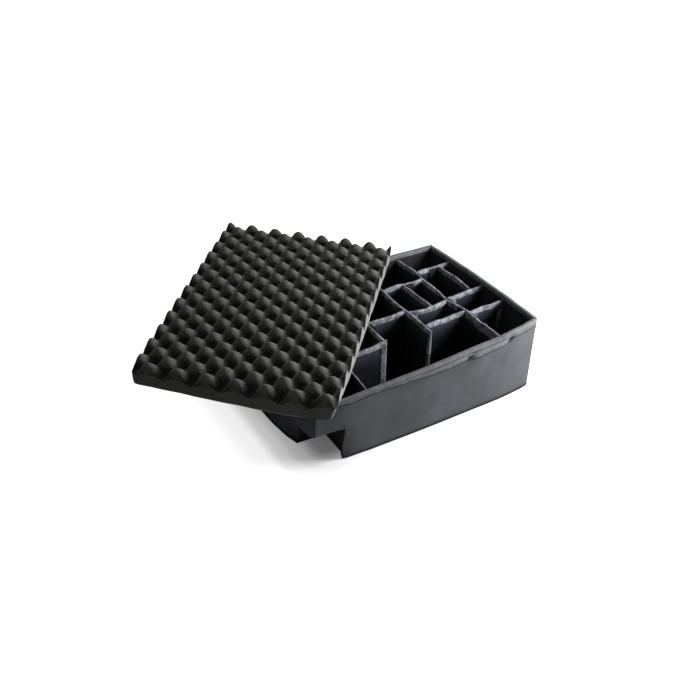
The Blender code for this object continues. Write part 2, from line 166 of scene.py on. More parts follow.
# A closed skin round the kept cells of a grid. place, uv and shade take arrays of grid indices.
def cellSkin(name, kept, place, uv, sharpAngle=38, shade=None):
    quads = []
    padded = np.pad(kept, 1)
    for axis in range(3):
        second, third = (axis + 1) % 3, (axis + 2) % 3
        for step in (0, 1):
            beyond = np.roll(padded, -1 if step else 1, axis=axis)[1:-1, 1:-1, 1:-1]
            cells = np.argwhere(kept & ~beyond)
            corners = []
            for a, b in ((0, 0), (1, 0), (1, 1), (0, 1)) if step else ((0, 0), (0, 1), (1, 1), (1, 0)):
                key = cells.copy()
                key[:, axis] += step
                key[:, second] += a
                key[:, third] += b
                corners.append(key)
            quads.append(np.stack(corners, axis=1))
    quads = np.concatenate(quads)
    size = np.array(kept.shape) + 1
    numbers = (quads[..., 0] * size[1] + quads[..., 1]) * size[2] + quads[..., 2]
    used, faces = np.unique(numbers, return_inverse=True)
    faces = faces.reshape(numbers.shape)
    i, j, k = used // (size[1] * size[2]), used // size[2] % size[1], used % size[2]
    points = np.stack(np.broadcast_arrays(*place(i, j, k)), axis=1)
    mesh = bpy.data.meshes.new(name)
    mesh.from_pydata(points.tolist(), [], faces.tolist())
    flat = np.stack(np.broadcast_arrays(*uv(i, j, k)), axis=1)
    mesh.uv_layers.new(name="UVMap").data.foreach_set("uv", flat[faces.reshape(-1)].astype(np.float32).ravel())
    if shade:
        mesh.attributes.new("shade", "FLOAT", "POINT").data.foreach_set("value", shade(i, j, k).astype(np.float32))
    shape = bmesh.new()
    shape.from_mesh(mesh)
    bmesh.ops.recalc_face_normals(shape, faces=shape.faces)
    shape.to_mesh(mesh)
    shape.free()
    mesh.shade_smooth()
    mesh.set_sharp_from_angle(angle=math.radians(sharpAngle))
    return placeItem(name, mesh)


def placeItem(name, data):
    item = bpy.data.objects.new(name, data)
    bpy.context.scene.collection.objects.link(item)
    return item


# Moves a mesh's points with form, which takes and gives x, y and z
def bendMesh(mesh, form):
    points = np.empty(len(mesh.vertices) * 3)
    mesh.vertices.foreach_get("co", points)
    mesh.vertices.foreach_set("co", np.stack(form(*points.reshape(-1, 3).T), axis=1).ravel())


def dress(item, material, body, slotName, nodes=(), fill=None):
    item.data.materials.clear()
    item.data.materials.append(material)
    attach(item, body)
    if nodes:
        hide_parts(*nodes)
    return item


# Node helpers: an input takes a value, or the output that feeds it
def feed(tree, socket, value):
    if isinstance(value, bpy.types.NodeSocket):
        tree.links.new(value, socket)
    else:
        socket.default_value = value


def addNode(tree, kind, inputs=None, **settings):
    node = tree.nodes.new(kind)
    for key, value in settings.items():
        setattr(node, key, value)
    for key, value in (inputs or {}).items():
        feed(tree, node.inputs[key], value)
    return node


def mathsIn(tree):
    def m(operation, *values):
        return addNode(tree, "ShaderNodeMath", dict(enumerate(values)), operation=operation).outputs[0]

    return m


def mixColours(tree, factor, *ends):
    ends = {6 + n: (*end, 1) if isinstance(end, tuple) else end for n, end in enumerate(ends)}
    return addNode(tree, "ShaderNodeMix", {0: factor, **ends}, data_type="RGBA").outputs[2]


# A tree with named inputs. A number gives the first value, and words give the kind of socket.
def newTree(kind, name, inputs, outputs):
    tree = bpy.data.node_groups.new(name, kind)
    for label, value in inputs.items():
        plain = {float: "NodeSocketFloat", int: "NodeSocketInt"}.get(type(value), value)
        socket = tree.interface.new_socket(name=label, in_out="INPUT", socket_type=plain)
        if plain != value:
            socket.default_value = value
    for label, value in outputs.items():
        tree.interface.new_socket(name=label, in_out="OUTPUT", socket_type=value)
    return tree, tree.nodes.new("NodeGroupInput").outputs, tree.nodes.new("NodeGroupOutput").inputs


# Plain weave: warp and weft ribs that pass over and under each other, with uneven yarns
def makeWeaveGroup():
    tree, given, made = newTree("ShaderNodeTree", "plainWeave",
                                {"Vector": "NodeSocketVector", "Pitch": 0.8 * mm, "Slub": 0.3},
                                {"Height": "NodeSocketFloat", "Gap": "NodeSocketFloat"})
    m = mathsIn(tree)
    split = addNode(tree, "ShaderNodeSeparateXYZ", {0: given["Vector"]})
    turns = m("DIVIDE", math.pi, given["Pitch"])
    waves = [m("SINE", m("MULTIPLY", split.outputs[n], turns)) for n in (0, 1)]
    warp, weft = (m("ABSOLUTE", wave) for wave in waves)
    over = m("GREATER_THAN", m("MULTIPLY", *waves), 0)
    ribs = m("ADD", m("MULTIPLY", warp, over), m("MULTIPLY", weft, m("SUBTRACT", 1, over)))
    slub = addNode(tree, "ShaderNodeTexNoise", {"Vector": given["Vector"], "Scale": 260, "Detail": 2})
    feed(tree, made["Height"], m("ADD", ribs, m("MULTIPLY", slub.outputs["Fac"], given["Slub"])))
    feed(tree, made["Gap"], m("SUBTRACT", 1, m("MINIMUM", warp, weft)))
    return tree


# Loose fibres and lint: a soft large mottle, and small pale specks where lint sits
def makeLintGroup():
    tree, given, made = newTree("ShaderNodeTree", "lintAndMottle",
                                {"Mottle Size": 30 * mm, "Speck Size": 3 * mm, "Speck Amount": 0.3},
                                {"Mottle": "NodeSocketFloat", "Specks": "NodeSocketFloat", "Fuzz": "NodeSocketFloat"})
    m = mathsIn(tree)
    place = addNode(tree, "ShaderNodeTexCoord").outputs["Object"]

    def noise(scale, detail, roughness):
        values = {"Vector": place, "Scale": scale, "Detail": detail, "Roughness": roughness}
        return addNode(tree, "ShaderNodeTexNoise", values).outputs["Fac"]

    feed(tree, made["Mottle"], noise(m("DIVIDE", 1, given["Mottle Size"]), 3, 0.55))
    edge = m("SUBTRACT", 0.75, m("MULTIPLY", given["Speck Amount"], 0.35))
    specks = m("MULTIPLY", m("SUBTRACT", noise(m("DIVIDE", 1, given["Speck Size"]), 4, 0.7), edge), 7)
    feed(tree, made["Specks"], addNode(tree, "ShaderNodeClamp", {"Value": specks}).outputs[0])
    feed(tree, made["Fuzz"], noise(900, 5, 0.75))
    return tree


weaveGroup = makeWeaveGroup()
lintGroup = makeLintGroup()


# A material, its tree, and a call that gives a socket of its Principled shader a value or a link
def newMaterial(name):
    material = bpy.data.materials.new(name)
    material.use_nodes = True
    tree = material.node_tree
    shader = tree.nodes["Principled BSDF"]
    return material, tree, lambda label, value: feed(tree, shader.inputs[label], value)


def lintIn(tree, look):
    values = {"Mottle Size": look["mottle"], "Speck Size": look["speck"], "Speck Amount": look["lint"]}
    return addNode(tree, "ShaderNodeGroup", values, node_tree=lintGroup).outputs




def bumpIn(tree, strength, distance, height, more=None):
    values = {"Strength": strength, "Distance": distance, "Height": height, **(more or {})}
    return addNode(tree, "ShaderNodeBump", values).outputs[0]


def attributeIn(tree, name):
    return addNode(tree, "ShaderNodeAttribute", attribute_name=name).outputs["Fac"]


def withSheen(material, finish, look, roughness):
    finish("Sheen Weight", look["sheen"])
    finish("Sheen Roughness", roughness)
    finish("Specular IOR Level", look["specular"])
    return material


# Woven nylon: satin, with a fine weave and an uneven, slightly rubbed face
commonNylon = {"pitch": 0.7 * mm, "roughness": 0.6, "weaveDepth": 0.4, "specular": 0.25,
               "shadeColour": (0.01, 0.01, 0.011)}
nylonLooks = {
    "coverNylon": {"dark": (0.040, 0.042, 0.049), "light": (0.075, 0.079, 0.091), "mottle": 55 * mm, "spread": 1.6,
                   "speck": 6 * mm, "lint": 0.1, "speckShow": 0.15, "speckColour": (0.1, 0.1, 0.11), "roughness": 0.5,
                   "weaveDepth": 0.35, "fuzzDepth": 0.05, "sheen": 0.03, "specular": 0.22},
    "hemNylon": {"dark": (0.075, 0.077, 0.086), "light": (0.148, 0.153, 0.168), "mottle": 13 * mm, "spread": 1.9,
                 "speck": 5 * mm, "lint": 0.45, "speckShow": 0.6, "speckColour": (0.035, 0.035, 0.039),
                 "roughness": 0.55, "fuzzDepth": 0.15, "sheen": 0.06},
    "bindingNylon": {"dark": (0.075, 0.081, 0.096), "light": (0.315, 0.331, 0.375), "mottle": 14 * mm, "spread": 3.6,
                     "speck": 6 * mm, "lint": 0.75, "speckShow": 0.8, "speckColour": (0.045, 0.049, 0.060),
                     "shadeColour": (0.008, 0.009, 0.013), "fuzzDepth": 0.3, "sheen": 0.08},
    "seamNylon": {"dark": (0.008, 0.008, 0.010), "light": (0.018, 0.018, 0.021), "mottle": 12 * mm, "spread": 2.0,
                  "speck": 4 * mm, "lint": 0.2, "speckShow": 0.3, "speckColour": (0.03, 0.03, 0.035), "pitch": 0.6 * mm,
                  "shadeColour": (0.005, 0.005, 0.006), "fuzzDepth": 0.2, "sheen": 0.05},
}


def makeNylon(name, look):
    material, tree, finish = newMaterial(name)
    m = mathsIn(tree)
    uv = addNode(tree, "ShaderNodeUVMap", uv_map="UVMap").outputs[0]
    values = {"Vector": uv, "Pitch": look["pitch"], "Slub": 0.35}
    weave = addNode(tree, "ShaderNodeGroup", values, node_tree=weaveGroup).outputs
    lint = lintIn(tree, look)
    spread = m("MULTIPLY_ADD", m("SUBTRACT", lint["Mottle"], 0.5), look["spread"], 0.5)
    face = mixColours(tree, spread, look["dark"], look["light"])
    # Painted shade in the weave's gaps: they are painted darker
    sunk = mixColours(tree, m("MULTIPLY", weave["Gap"], 0.25), face, tuple(value * 0.4 for value in look["dark"]))
    worn = mixColours(tree, m("MULTIPLY", lint["Specks"], look["speckShow"]), sunk, look["speckColour"])
    # Painted shade: the colour goes to shadeColour where the shade attribute is set
    finish("Base Color", mixColours(tree, attributeIn(tree, "shade"), worn, look["shadeColour"]))
    finish("Roughness", m("MULTIPLY_ADD", lint["Mottle"], 0.18, look["roughness"] - 0.09))
    ribs = bumpIn(tree, look["weaveDepth"], 0.12 * mm, weave["Height"])
    finish("Normal", bumpIn(tree, look["fuzzDepth"], 0.4 * mm, lint["Fuzz"], {"Normal": ribs}))
    return withSheen(material, finish, look, 0.45)


# Brushed loop fabric: black, matt and fuzzy, with paler lint caught in it, and a paler colour painted where the shade
# attribute is set, as painted light
commonLoop = {"paintedLight": (0.03, 0.03, 0.034), "speck": 2 * mm, "speckShow": 0.3, "fuzzDepth": 0.5, "sheen": 0.05,
              "specular": 0.15}
loopLooks = {
    "liningLoop": {"dark": (0.006, 0.006, 0.007), "light": (0.018, 0.018, 0.021), "mottle": 30 * mm, "speck": 5 * mm,
                   "lint": 0.15, "speckShow": 0.15, "speckColour": (0.06, 0.06, 0.07)},
    "blackCloth": {"dark": (0.004, 0.004, 0.005), "light": (0.012, 0.012, 0.014), "mottle": 9 * mm, "lint": 0.2,
                   "speckColour": (0.04, 0.04, 0.045), "fuzzDepth": 0.4},
    "dividerLoop": {"dark": (0.0015, 0.002, 0.0035), "light": (0.006, 0.0085, 0.0135), "paintedLight": (0.046, 0.055, 0.072),
                    "mottle": 22 * mm, "speck": 5 * mm, "lint": 0.55, "speckShow": 0.4, "speckColour": (0.028, 0.035, 0.05),
                    "sheen": 0.02, "specular": 0.06},
    "hookTape": {"dark": (0.006, 0.006, 0.008), "light": (0.014, 0.015, 0.018), "mottle": 15 * mm, "lint": 0.3,
                 "speckColour": (0.05, 0.055, 0.065), "fuzzDepth": 0.6, "sheen": 0.04, "specular": 0.08},
    "innerFoam": {"dark": (0.02, 0.02, 0.02), "light": (0.04, 0.04, 0.04), "paintedLight": (0.05, 0.05, 0.05), "mottle": 10 * mm,
                  "lint": 0.2, "speckShow": 0.2, "speckColour": (0.08, 0.08, 0.08), "sheen": 0.0},
}


def makeLoop(name, look):
    material, tree, finish = newMaterial(name)
    m = mathsIn(tree)
    lint = lintIn(tree, look)
    face = mixColours(tree, lint["Mottle"], look["dark"], look["light"])
    linted = mixColours(tree, m("MULTIPLY", lint["Specks"], look["speckShow"]), face, look["speckColour"])
    # Painted light: paler where the shade attribute is set, broken up by the lint specks
    cover = m("MULTIPLY", attributeIn(tree, "shade"), m("MULTIPLY_ADD", lint["Specks"], 0.5, 0.5))
    finish("Base Color", mixColours(tree, cover, linted, look["paintedLight"]))
    finish("Roughness", m("MULTIPLY_ADD", lint["Fuzz"], 0.2, 0.78))
    finish("Normal", bumpIn(tree, look["fuzzDepth"], 0.8 * mm, lint["Fuzz"]))
    return withSheen(material, finish, look, 0.6)


# Open-cell foam: a fine porous skin, with painted light and shade by height (greyer on the crests, darker down in the
# dimples), a painted sheen at grazing angles, and pale where it was cut
foamLook = {"dimple": (0.008, 0.0079, 0.0076), "crest": (0.082, 0.0803, 0.077), "cut": (0.46, 0.45, 0.435),
            "edge": (0.19, 0.186, 0.18), "edgeShow": 0.85, "edgeFall": 2.5, "lit": (0.2, 0.95), "mottle": 0.4, "grain": 2.0,
            "pore": 1.3 * mm, "poreDepth": 0.35, "roughness": 0.92, "specular": 0.15, "sheen": 0.06}


def makeFoam(name):
    material, tree, finish = newMaterial(name)
    m = mathsIn(tree)
    place = addNode(tree, "ShaderNodeTexCoord").outputs["Object"]
    pores = addNode(tree, "ShaderNodeTexVoronoi", {"Vector": place, "Scale": 1 / foamLook["pore"]}, feature="F1")
    mottle = addNode(tree, "ShaderNodeTexNoise", {"Vector": place, "Scale": 30, "Detail": 3}).outputs["Fac"]
    fine = {"Vector": place, "Scale": 330, "Detail": 4, "Roughness": 0.75}
    grain = addNode(tree, "ShaderNodeTexNoise", fine).outputs["Fac"]
    # Painted light and shade: the rise attribute paints the crests paler and the dimples darker
    limits = {"Value": attributeIn(tree, "rise"), "From Min": foamLook["lit"][0], "From Max": foamLook["lit"][1]}
    lit = addNode(tree, "ShaderNodeMapRange", limits, interpolation_type="SMOOTHSTEP")
    tone = m("MULTIPLY_ADD", m("SUBTRACT", mottle, 0.5), foamLook["mottle"], lit.outputs[0])
    tone = m("MULTIPLY_ADD", m("SUBTRACT", grain, 0.5), foamLook["grain"], tone)
    tone = addNode(tree, "ShaderNodeClamp", {"Value": tone}).outputs[0]
    face = mixColours(tree, tone, foamLook["dimple"], foamLook["crest"])
    # Painted sheen: the foam is painted paler where its surface turns away from the view
    graze = addNode(tree, "ShaderNodeLayerWeight", {"Blend": 0.35}).outputs["Facing"]
    paintedSheen = m("MULTIPLY", m("POWER", graze, foamLook["edgeFall"]), foamLook["edgeShow"])
    face = mixColours(tree, paintedSheen, face, foamLook["edge"])
    finish("Base Color", mixColours(tree, attributeIn(tree, "cutFace"), face, foamLook["cut"]))
    finish("Roughness", foamLook["roughness"])
    finish("Normal", bumpIn(tree, foamLook["poreDepth"], 0.6 * mm, m("ADD", pores.outputs["Distance"], grain)))
    return withSheen(material, finish, foamLook, 0.5)


cloth = {name: makeNylon(name, {**commonNylon, **look}) for name, look in nylonLooks.items()}
cloth.update({name: makeLoop(name, {**commonLoop, **look}) for name, look in loopLooks.items()})
cloth["padFoam"] = makeFoam("padFoam")
print("materials made")


# Geometry Nodes: each tree takes the line or seed it grows from, and ends in real, painted geometry
def newShapeTree(name, inputs):
    both = {"Geometry": "NodeSocketGeometry"}
    return newTree("GeometryNodeTree", name, {**both, **inputs, "Material": "NodeSocketMaterial"}, both)


def closeTree(tree, given, made, last):
    real = addNode(tree, "GeometryNodeRealizeInstances", {0: last.outputs[0]})
    painted = addNode(tree, "GeometryNodeSetMaterial", {"Geometry": real.outputs[0], "Material": given["Material"]})
    feed(tree, made[0], painted.outputs[0])
    return tree


def bakeTree(name, lines, tree, material, values, closed=False):
    points, edges = [], []
    for line in lines:
        start = len(points)
        points += [tuple(point) for point in line]
        edges += [(start + n, start + n + 1) for n in range(len(line) - 1)]
        if closed:
            edges.append((len(points) - 1, start))
    source = bpy.data.meshes.new(name + "_line")
    source.from_pydata(points, edges, [])
    source = placeItem(name + "_line", source)
    modifier = source.modifiers.new("shape", "NODES")
    modifier.node_group = tree
    sockets = {item.name: item.identifier for item in tree.interface.items_tree
               if item.item_type == "SOCKET" and item.in_out == "INPUT"}
    for label, value in {**values, "Material": material}.items():
        modifier[sockets[label]] = value
    bpy.context.view_layer.update()
    mesh = bpy.data.meshes.new_from_object(source.evaluated_get(bpy.context.evaluated_depsgraph_get()))
    mesh.name = name
    bpy.data.objects.remove(source, do_unlink=True)
    return placeItem(name, mesh)


# Thread: one small stitch at each step of a line
def makeStitchTree():
    tree, given, made = newShapeTree("stitchRow", {"Pitch": 3.2 * mm, "Length": 2.3 * mm, "Thickness": 0.45 * mm})
    curve = addNode(tree, "GeometryNodeMeshToCurve", {"Mesh": given["Geometry"]})
    values = {"Curve": curve.outputs[0], "Length": given["Pitch"]}
    points = addNode(tree, "GeometryNodeCurveToPoints", values, mode="LENGTH").outputs
    bead = addNode(tree, "GeometryNodeMeshIcoSphere", {"Radius": 0.5, "Subdivisions": 1})
    size = addNode(tree, "ShaderNodeCombineXYZ", {0: given["Thickness"], 1: given["Thickness"], 2: given["Length"]})
    return closeTree(tree, given, made, addNode(tree, "GeometryNodeInstanceOnPoints", {
        "Points": points["Points"], "Rotation": points["Rotation"], "Instance": bead.outputs["Mesh"],
        "Scale": size.outputs[0]}))


# Cord: a round tube along a line
def makeCordTree():
    tree, given, made = newShapeTree("sewnCord", {"Radius": 1.1 * mm, "Sides": 10})
    curve = addNode(tree, "GeometryNodeMeshToCurve", {"Mesh": given["Geometry"]})
    ring = addNode(tree, "GeometryNodeCurvePrimitiveCircle", {"Resolution": given["Sides"], "Radius": given["Radius"]})
    values = {"Curve": curve.outputs[0], "Profile Curve": ring.outputs[0], "Fill Caps": True}
    tube = addNode(tree, "GeometryNodeCurveToMesh", values)
    return closeTree(tree, given, made, addNode(tree, "GeometryNodeSetShadeSmooth", {"Geometry": tube.outputs[0]}))


stitchTree = makeStitchTree()
cordTree = makeCordTree()
stitches = {
    "hem": {"Pitch": 3.4 * mm, "Length": 2.6 * mm, "Thickness": 0.7 * mm},
    "binding": {"Pitch": 3 * mm, "Length": 3.1 * mm, "Thickness": 1.1 * mm},
    "tack": {"Pitch": 1.5 * mm, "Length": 2.4 * mm, "Thickness": 2.2 * mm},
}


def makeThread(name, lines, body, slotName, stitch):
    item = bakeTree(name, lines, stitchTree, cloth["blackCloth"], stitches[stitch])
    item.data.shade_smooth()
    return dress(item, cloth["blackCloth"], body, slotName)


def makeCord(name, line, radius, closed=False, nodes=(), form=None):
    item = bakeTree(name, [line], cordTree, cloth["blackCloth"], {"Radius": radius, "Sides": 10}, closed)
    if form:
        bendMesh(item.data, form)
    return dress(item, cloth["blackCloth"], "tray", "seam", nodes)


# Lid pad: egg-crate foam whose crests and dimples follow one chequered wave
padForm = {
    "Width": 367.5 * mm, "Length": 511 * mm, "Valley": 18.5 * mm, "Crest": 41 * mm, "Pitch Across": 52.3 * mm,
    "Pitch Along": 43.8 * mm, "First Across": 6.4 * mm, "First Along": 32 * mm, "First Row Pull": 5 * mm, "Fullness": 0.78,
    "Corner Radius": 3 * mm, "Front Right Radius": 9 * mm, "Front Left Radius": 9 * mm, "Crest Rounding": 11 * mm,
    "Crest Drop": 17 * mm, "Columns": 150, "Rows": 216, "Layers": 8,
}
lidPad = {
    "turn": -43.9, "centre": (-0.3627, 0.2919),                              # in degrees, and as shares of the tray
    "droop": ((0, 0.3, 0.7, 0.9, 0.95, 1), (6, 11.5, 17.8, 17, 16, 13)),     # front edge, left to right, in mm
    "droopReach": ((100, 135, 150, 183), (40, 7, 7, 40)),                    # how far back it droops, left to right, in mm
    "keepUp": ((0, 0.25, 0.7, 1), (1, 0.75, 0.75, 1)),                       # how far its crests escape the droop
    "drawIn": 9 * mm, "drawInReach": (30 * mm, 70 * mm, 22 * mm),            # the low front right corner leans in
    "edgeRounding": 4 * mm, "edgeTuck": 0.45,
    "swell": (90 * mm, 5, 0.7 * mm), "unlike": (26 * mm, 6, 0.45 * mm),      # waves of its top: length, seed and size
    "sideWaves": ((60 * mm, 7, 0.5 * mm), (60 * mm, 8, 0.5 * mm)),
    "cutTone": ((-1, -0.6, 0.2, 1), (0.36, 0.33, 0.26, 0.2)),                # right cut face, front to back
    "rimTone": 0.45, "upTone": 0.62, "edgeShade": -0.42,
}
halfPad = (padForm["Width"] / 2, padForm["Length"] / 2)


def makePadTree():
    tree, given, made = newShapeTree("eggCrate", padForm)
    m = mathsIn(tree)
    size = addNode(tree, "ShaderNodeCombineXYZ", {0: given["Width"], 1: given["Length"], 2: 1}).outputs[0]
    cells = {"Vertices X": given["Columns"], "Vertices Y": given["Rows"], "Vertices Z": given["Layers"]}
    block = addNode(tree, "GeometryNodeMeshCube", {"Size": size, **cells})
    here = addNode(tree, "GeometryNodeInputPosition").outputs[0]
    x, y, z = addNode(tree, "ShaderNodeSeparateXYZ", {0: here}).outputs
    toLeft = m("MULTIPLY_ADD", given["Width"], 0.5, x)
    ahead = m("MULTIPLY_ADD", given["Length"], 0.5, y)
    pull = m("MULTIPLY", given["First Row Pull"], m("EXPONENT", m("DIVIDE", ahead, -20 * mm)))
    across = m("SUBTRACT", toLeft, given["First Across"])
    along = m("ADD", m("SUBTRACT", ahead, given["First Along"]), pull)
    wave = m("MULTIPLY", *[m("COSINE", m("DIVIDE", m("MULTIPLY", place, 2 * math.pi), given["Pitch " + way]))
                           for place, way in ((across, "Across"), (along, "Along"))])
    shaped = m("MULTIPLY", m("SIGN", wave), m("POWER", m("ABSOLUTE", wave), given["Fullness"]))
    middle = m("MULTIPLY", m("ADD", given["Crest"], given["Valley"]), 0.5)
    swing = m("MULTIPLY", m("SUBTRACT", given["Crest"], given["Valley"]), 0.5)
    # the crests at the front and left edges round down to the cut face
    near = m("MAXIMUM", m("SUBTRACT", 1, m("DIVIDE", m("MINIMUM", ahead, toLeft), given["Crest Rounding"])), 0)
    drop = m("SUBTRACT", 1, m("SQRT", m("SUBTRACT", 1, m("MULTIPLY", near, near))))
    high = m("MULTIPLY_ADD", shaped, 0.5, 0.5)
    drop = m("MULTIPLY", m("MULTIPLY", drop, given["Crest Drop"]), m("MULTIPLY", high, high))
    top = m("SUBTRACT", m("MULTIPLY_ADD", swing, shaped, middle), drop)
    # the block's upright corners
    radius = given["Corner Radius"]
    for way, side in (("Right", m("GREATER_THAN", x, 0)), ("Left", m("LESS_THAN", x, 0))):
        atCorner = m("MULTIPLY", side, m("LESS_THAN", y, 0))
        radius = m("MULTIPLY_ADD", atCorner, m("SUBTRACT", given[f"Front {way} Radius"], given["Corner Radius"]), radius)
    places = [(x, given["Width"]), (y, given["Length"])]
    inner = [m("SUBTRACT", m("MULTIPLY", length, 0.5), radius) for place, length in places]
    past = [m("MAXIMUM", m("SUBTRACT", m("ABSOLUTE", place), limit), 0) for (place, length), limit in zip(places, inner)]
    reach = m("SQRT", m("ADD", *[m("MULTIPLY", value, value) for value in past]))
    shrink = m("DIVIDE", m("MAXIMUM", *past), m("MAXIMUM", reach, 0.000001))
    reached = [m("ADD", m("MINIMUM", m("ABSOLUTE", place), limit), m("MULTIPLY", value, shrink))
               for (place, length), limit, value in zip(places, inner, past)]
    rounded = [m("MULTIPLY", m("SIGN", place), value) for (place, length), value in zip(places, reached)]
    share = m("ADD", z, 0.5)
    moved = addNode(tree, "ShaderNodeCombineXYZ", {0: rounded[0], 1: rounded[1], 2: m("MULTIPLY", share, top)})
    # rise is how high a place stands, for the foam's painted light and shade. The edge domes are painted darker than
    # the face under them, as painted shade.
    edgeShaded = m("MULTIPLY", high, m("MULTIPLY_ADD", near, lidPad["edgeShade"], 1))
    tone = m("MULTIPLY_ADD", m("SUBTRACT", edgeShaded, lidPad["upTone"]), m("GREATER_THAN", share, 0.99), lidPad["upTone"])
    values = {"Geometry": block.outputs["Mesh"], "Name": "rise", "Value": tone}
    stored = addNode(tree, "GeometryNodeStoreNamedAttribute", values, data_type="FLOAT", domain="POINT")
    return closeTree(tree, given, made, addNode(tree, "GeometryNodeSetPosition", {
        "Geometry": stored.outputs[0], "Position": moved.outputs[0]}))


# Paler where the block was cut: the long right face, and a thin rim under the front face. The right face's paleness
# also falls from front to back, as painted light.
def paintCutFaces(mesh):
    def read(items, key, width, kind=float):
        values = np.empty(len(items) * width, kind)
        items.foreach_get(key, values)
        return values.reshape(-1, width) if width > 1 else values

    spot = read(mesh.vertices, "co", 3)[read(mesh.loops, "vertex_index", 1, int)]
    facing = np.repeat(read(mesh.polygons, "normal", 3), read(mesh.polygons, "loop_total", 1, int), axis=0)
    onRight = (facing[:, 0] > 0.85) & (spot[:, 0] > halfPad[0] - 4 * mm)
    tone = np.interp(spot[:, 1] / halfPad[1], *lidPad["cutTone"]) * onRight
    rim = (facing[:, 1] < -0.8) & (spot[:, 1] < 4 * mm - halfPad[1]) & (spot[:, 2] < 1 * mm)
    layer = mesh.attributes.new("cutFace", "FLOAT", "CORNER")
    layer.data.foreach_set("value", np.maximum(tone, lidPad["rimTone"] * rim).astype(np.float32))


# Tucks the pad's low edges in, lets its front edge droop over the rim, and lays it on the tray
def drapePad(x, y, z):
    width, length = halfPad
    side = np.exp(-np.maximum(np.minimum(width - np.abs(x), length - np.abs(y)), 0) / (3 * mm))
    tuck = side * lidPad["edgeRounding"] * lidPad["edgeTuck"] * np.clip(1 - z / lidPad["edgeRounding"], 0, 1) ** 2
    x = x - np.sign(x) * tuck * (width - np.abs(x) < 8 * mm)
    y = y - np.sign(y) * tuck * (length - np.abs(y) < 8 * mm)
    ahead = y + length
    overhang = np.clip(1 - ahead / (np.interp(x / mm, *lidPad["droopReach"]) * mm), 0, 1) ** 2
    droop, keep = (np.interp((x + width) / (2 * width), *lidPad[label]) for label in ("droop", "keepUp"))
    inReach = [np.clip(1 - place / reach, 0, 1) for place, reach in zip((width - x, ahead, z), lidPad["drawInReach"])]
    x = x - lidPad["drawIn"] * inReach[2] * inReach[0] * inReach[1]
    z = z - droop * mm * overhang * (1 - keep * np.clip(z / (36 * mm), 0, 1))
    # the cut faces are a little uneven, and no two crests are quite alike
    z = z + ripple(x, y, *lidPad["swell"]) * ramp(z, 0, 20 * mm) + ripple(x, y, *lidPad["unlike"]) * ramp(z, 0, 30 * mm)
    x = x + ripple(y, z, *lidPad["sideWaves"][0]) * side
    y = y + ripple(x, z, *lidPad["sideWaves"][1]) * side
    slope = tray["cornerSag"] / (backEdge + halves[1])
    place = Vector((lidPad["centre"][0] * tray["length"], lidPad["centre"][1] * tray["depth"], 0))
    place.z = tray["height"] + 0.3 * mm + (place.y - backEdge) * slope
    tilt = Matrix.Rotation(math.atan(slope), 4, "X") @ Matrix.Rotation(math.radians(lidPad["turn"]), 4, "Z")
    laid = np.array(Matrix.Translation(place) @ tilt)
    return laid[:3, :3] @ np.stack((x, y, z)) + laid[:3, 3:]


lidPadSeed = [[(0, 0, 0), (10 * mm, 0, 0)]]
eggCrate = bakeTree("eggCratePad", lidPadSeed, makePadTree(), cloth["padFoam"], padForm)
paintCutFaces(eggCrate.data)
bendMesh(eggCrate.data, drapePad)
eggCrate.data.shade_smooth()
eggCrate.data.set_sharp_from_angle(angle=math.radians(60))
dress(eggCrate, cloth["padFoam"], "lid_pad", "pad_foam", ["lid_pad"], fill=0.9)
print("lid pad made")


# Walls: outer cover, foam and loop lining, each a closed sheet that follows the tray's form
foot = 1.1 * mm
wallSheets = {
    "cover_nylon": {"layers": ("coverOut", "coverIn"), "top": 158.9 * mm, "count": 96, "rows": 40, "cloth": "coverNylon",
                    "slot": "outer_nylon", "node": "wall_cover"},
    "foam_board": {"layers": ("foamOut", "foamIn"), "top": 158.9 * mm, "count": 24, "rows": 8, "cloth": "innerFoam",
                   "slot": "wall_foam", "node": "wall_foam", "fill": 1.0},
    "lining_loop": {"layers": ("liningOut", "liningIn"), "top": 152 * mm, "count": 48, "rows": 16, "cloth": "liningLoop",
                    "slot": "loop_lining", "node": "wall_lining"},
}
tacks = [{"run": 73 * mm, "size": 9 * mm, "depth": 4.5 * mm}, {"run": 174 * mm, "size": 8 * mm, "depth": 3.5 * mm}]
tackHeight = 142 * mm
slack = {"wide": (130 * mm, 11, 0.55 * mm), "fine": (45 * mm, 21, 0.18 * mm), "bulge": 1.1 * mm}
# Painted shade where a cover darkens beside the front wheel well and near the tray's front left corner: edge along the
# wall, reach, height, strength, and strength at the corner
wellShade = {"front": (wellRight, 20 * mm, 85 * mm, 0.75, 0.5), "left": (-wellInner, 34 * mm, 85 * mm, 0.75, 0.35)}


# Grid lines along a wall, with one on each cut of a wheel well
def wallShares(side, count):
    bend = tray["cornerStart"]
    closing = bend + (1 - bend) * np.array([0.25, 0.5, 0.7, 0.82, 0.9, 0.96, 1])
    shares = np.concatenate((-closing[::-1], np.linspace(-bend, bend, count + 1), closing))
    cuts = [wellRight] if halfRun[side] == halves[0] else [-wellInner, wellInner]
    for place in np.array(cuts) / halfRun[side]:
        shares[np.argmin(np.abs(shares - place))] = place
    return shares


def outsideWell(side, shares, heights):
    middle = (shares[1:] + shares[:-1]) / 2 * halfRun[side]
    level = (heights[1:] + heights[:-1]) / 2
    inWell = {"right": middle > halves[0], "left": np.abs(middle) > wellInner}.get(side, middle < wellRight)
    return ~(inWell[:, None] & (level < tray["wellHeight"])[None, :])


# A ripple whose seed differs from one wall to the next
def wallRipple(side, u, v, wave):
    wavelength, seed, size = wave
    return ripple(u, v, wavelength, seed + len(side), size)


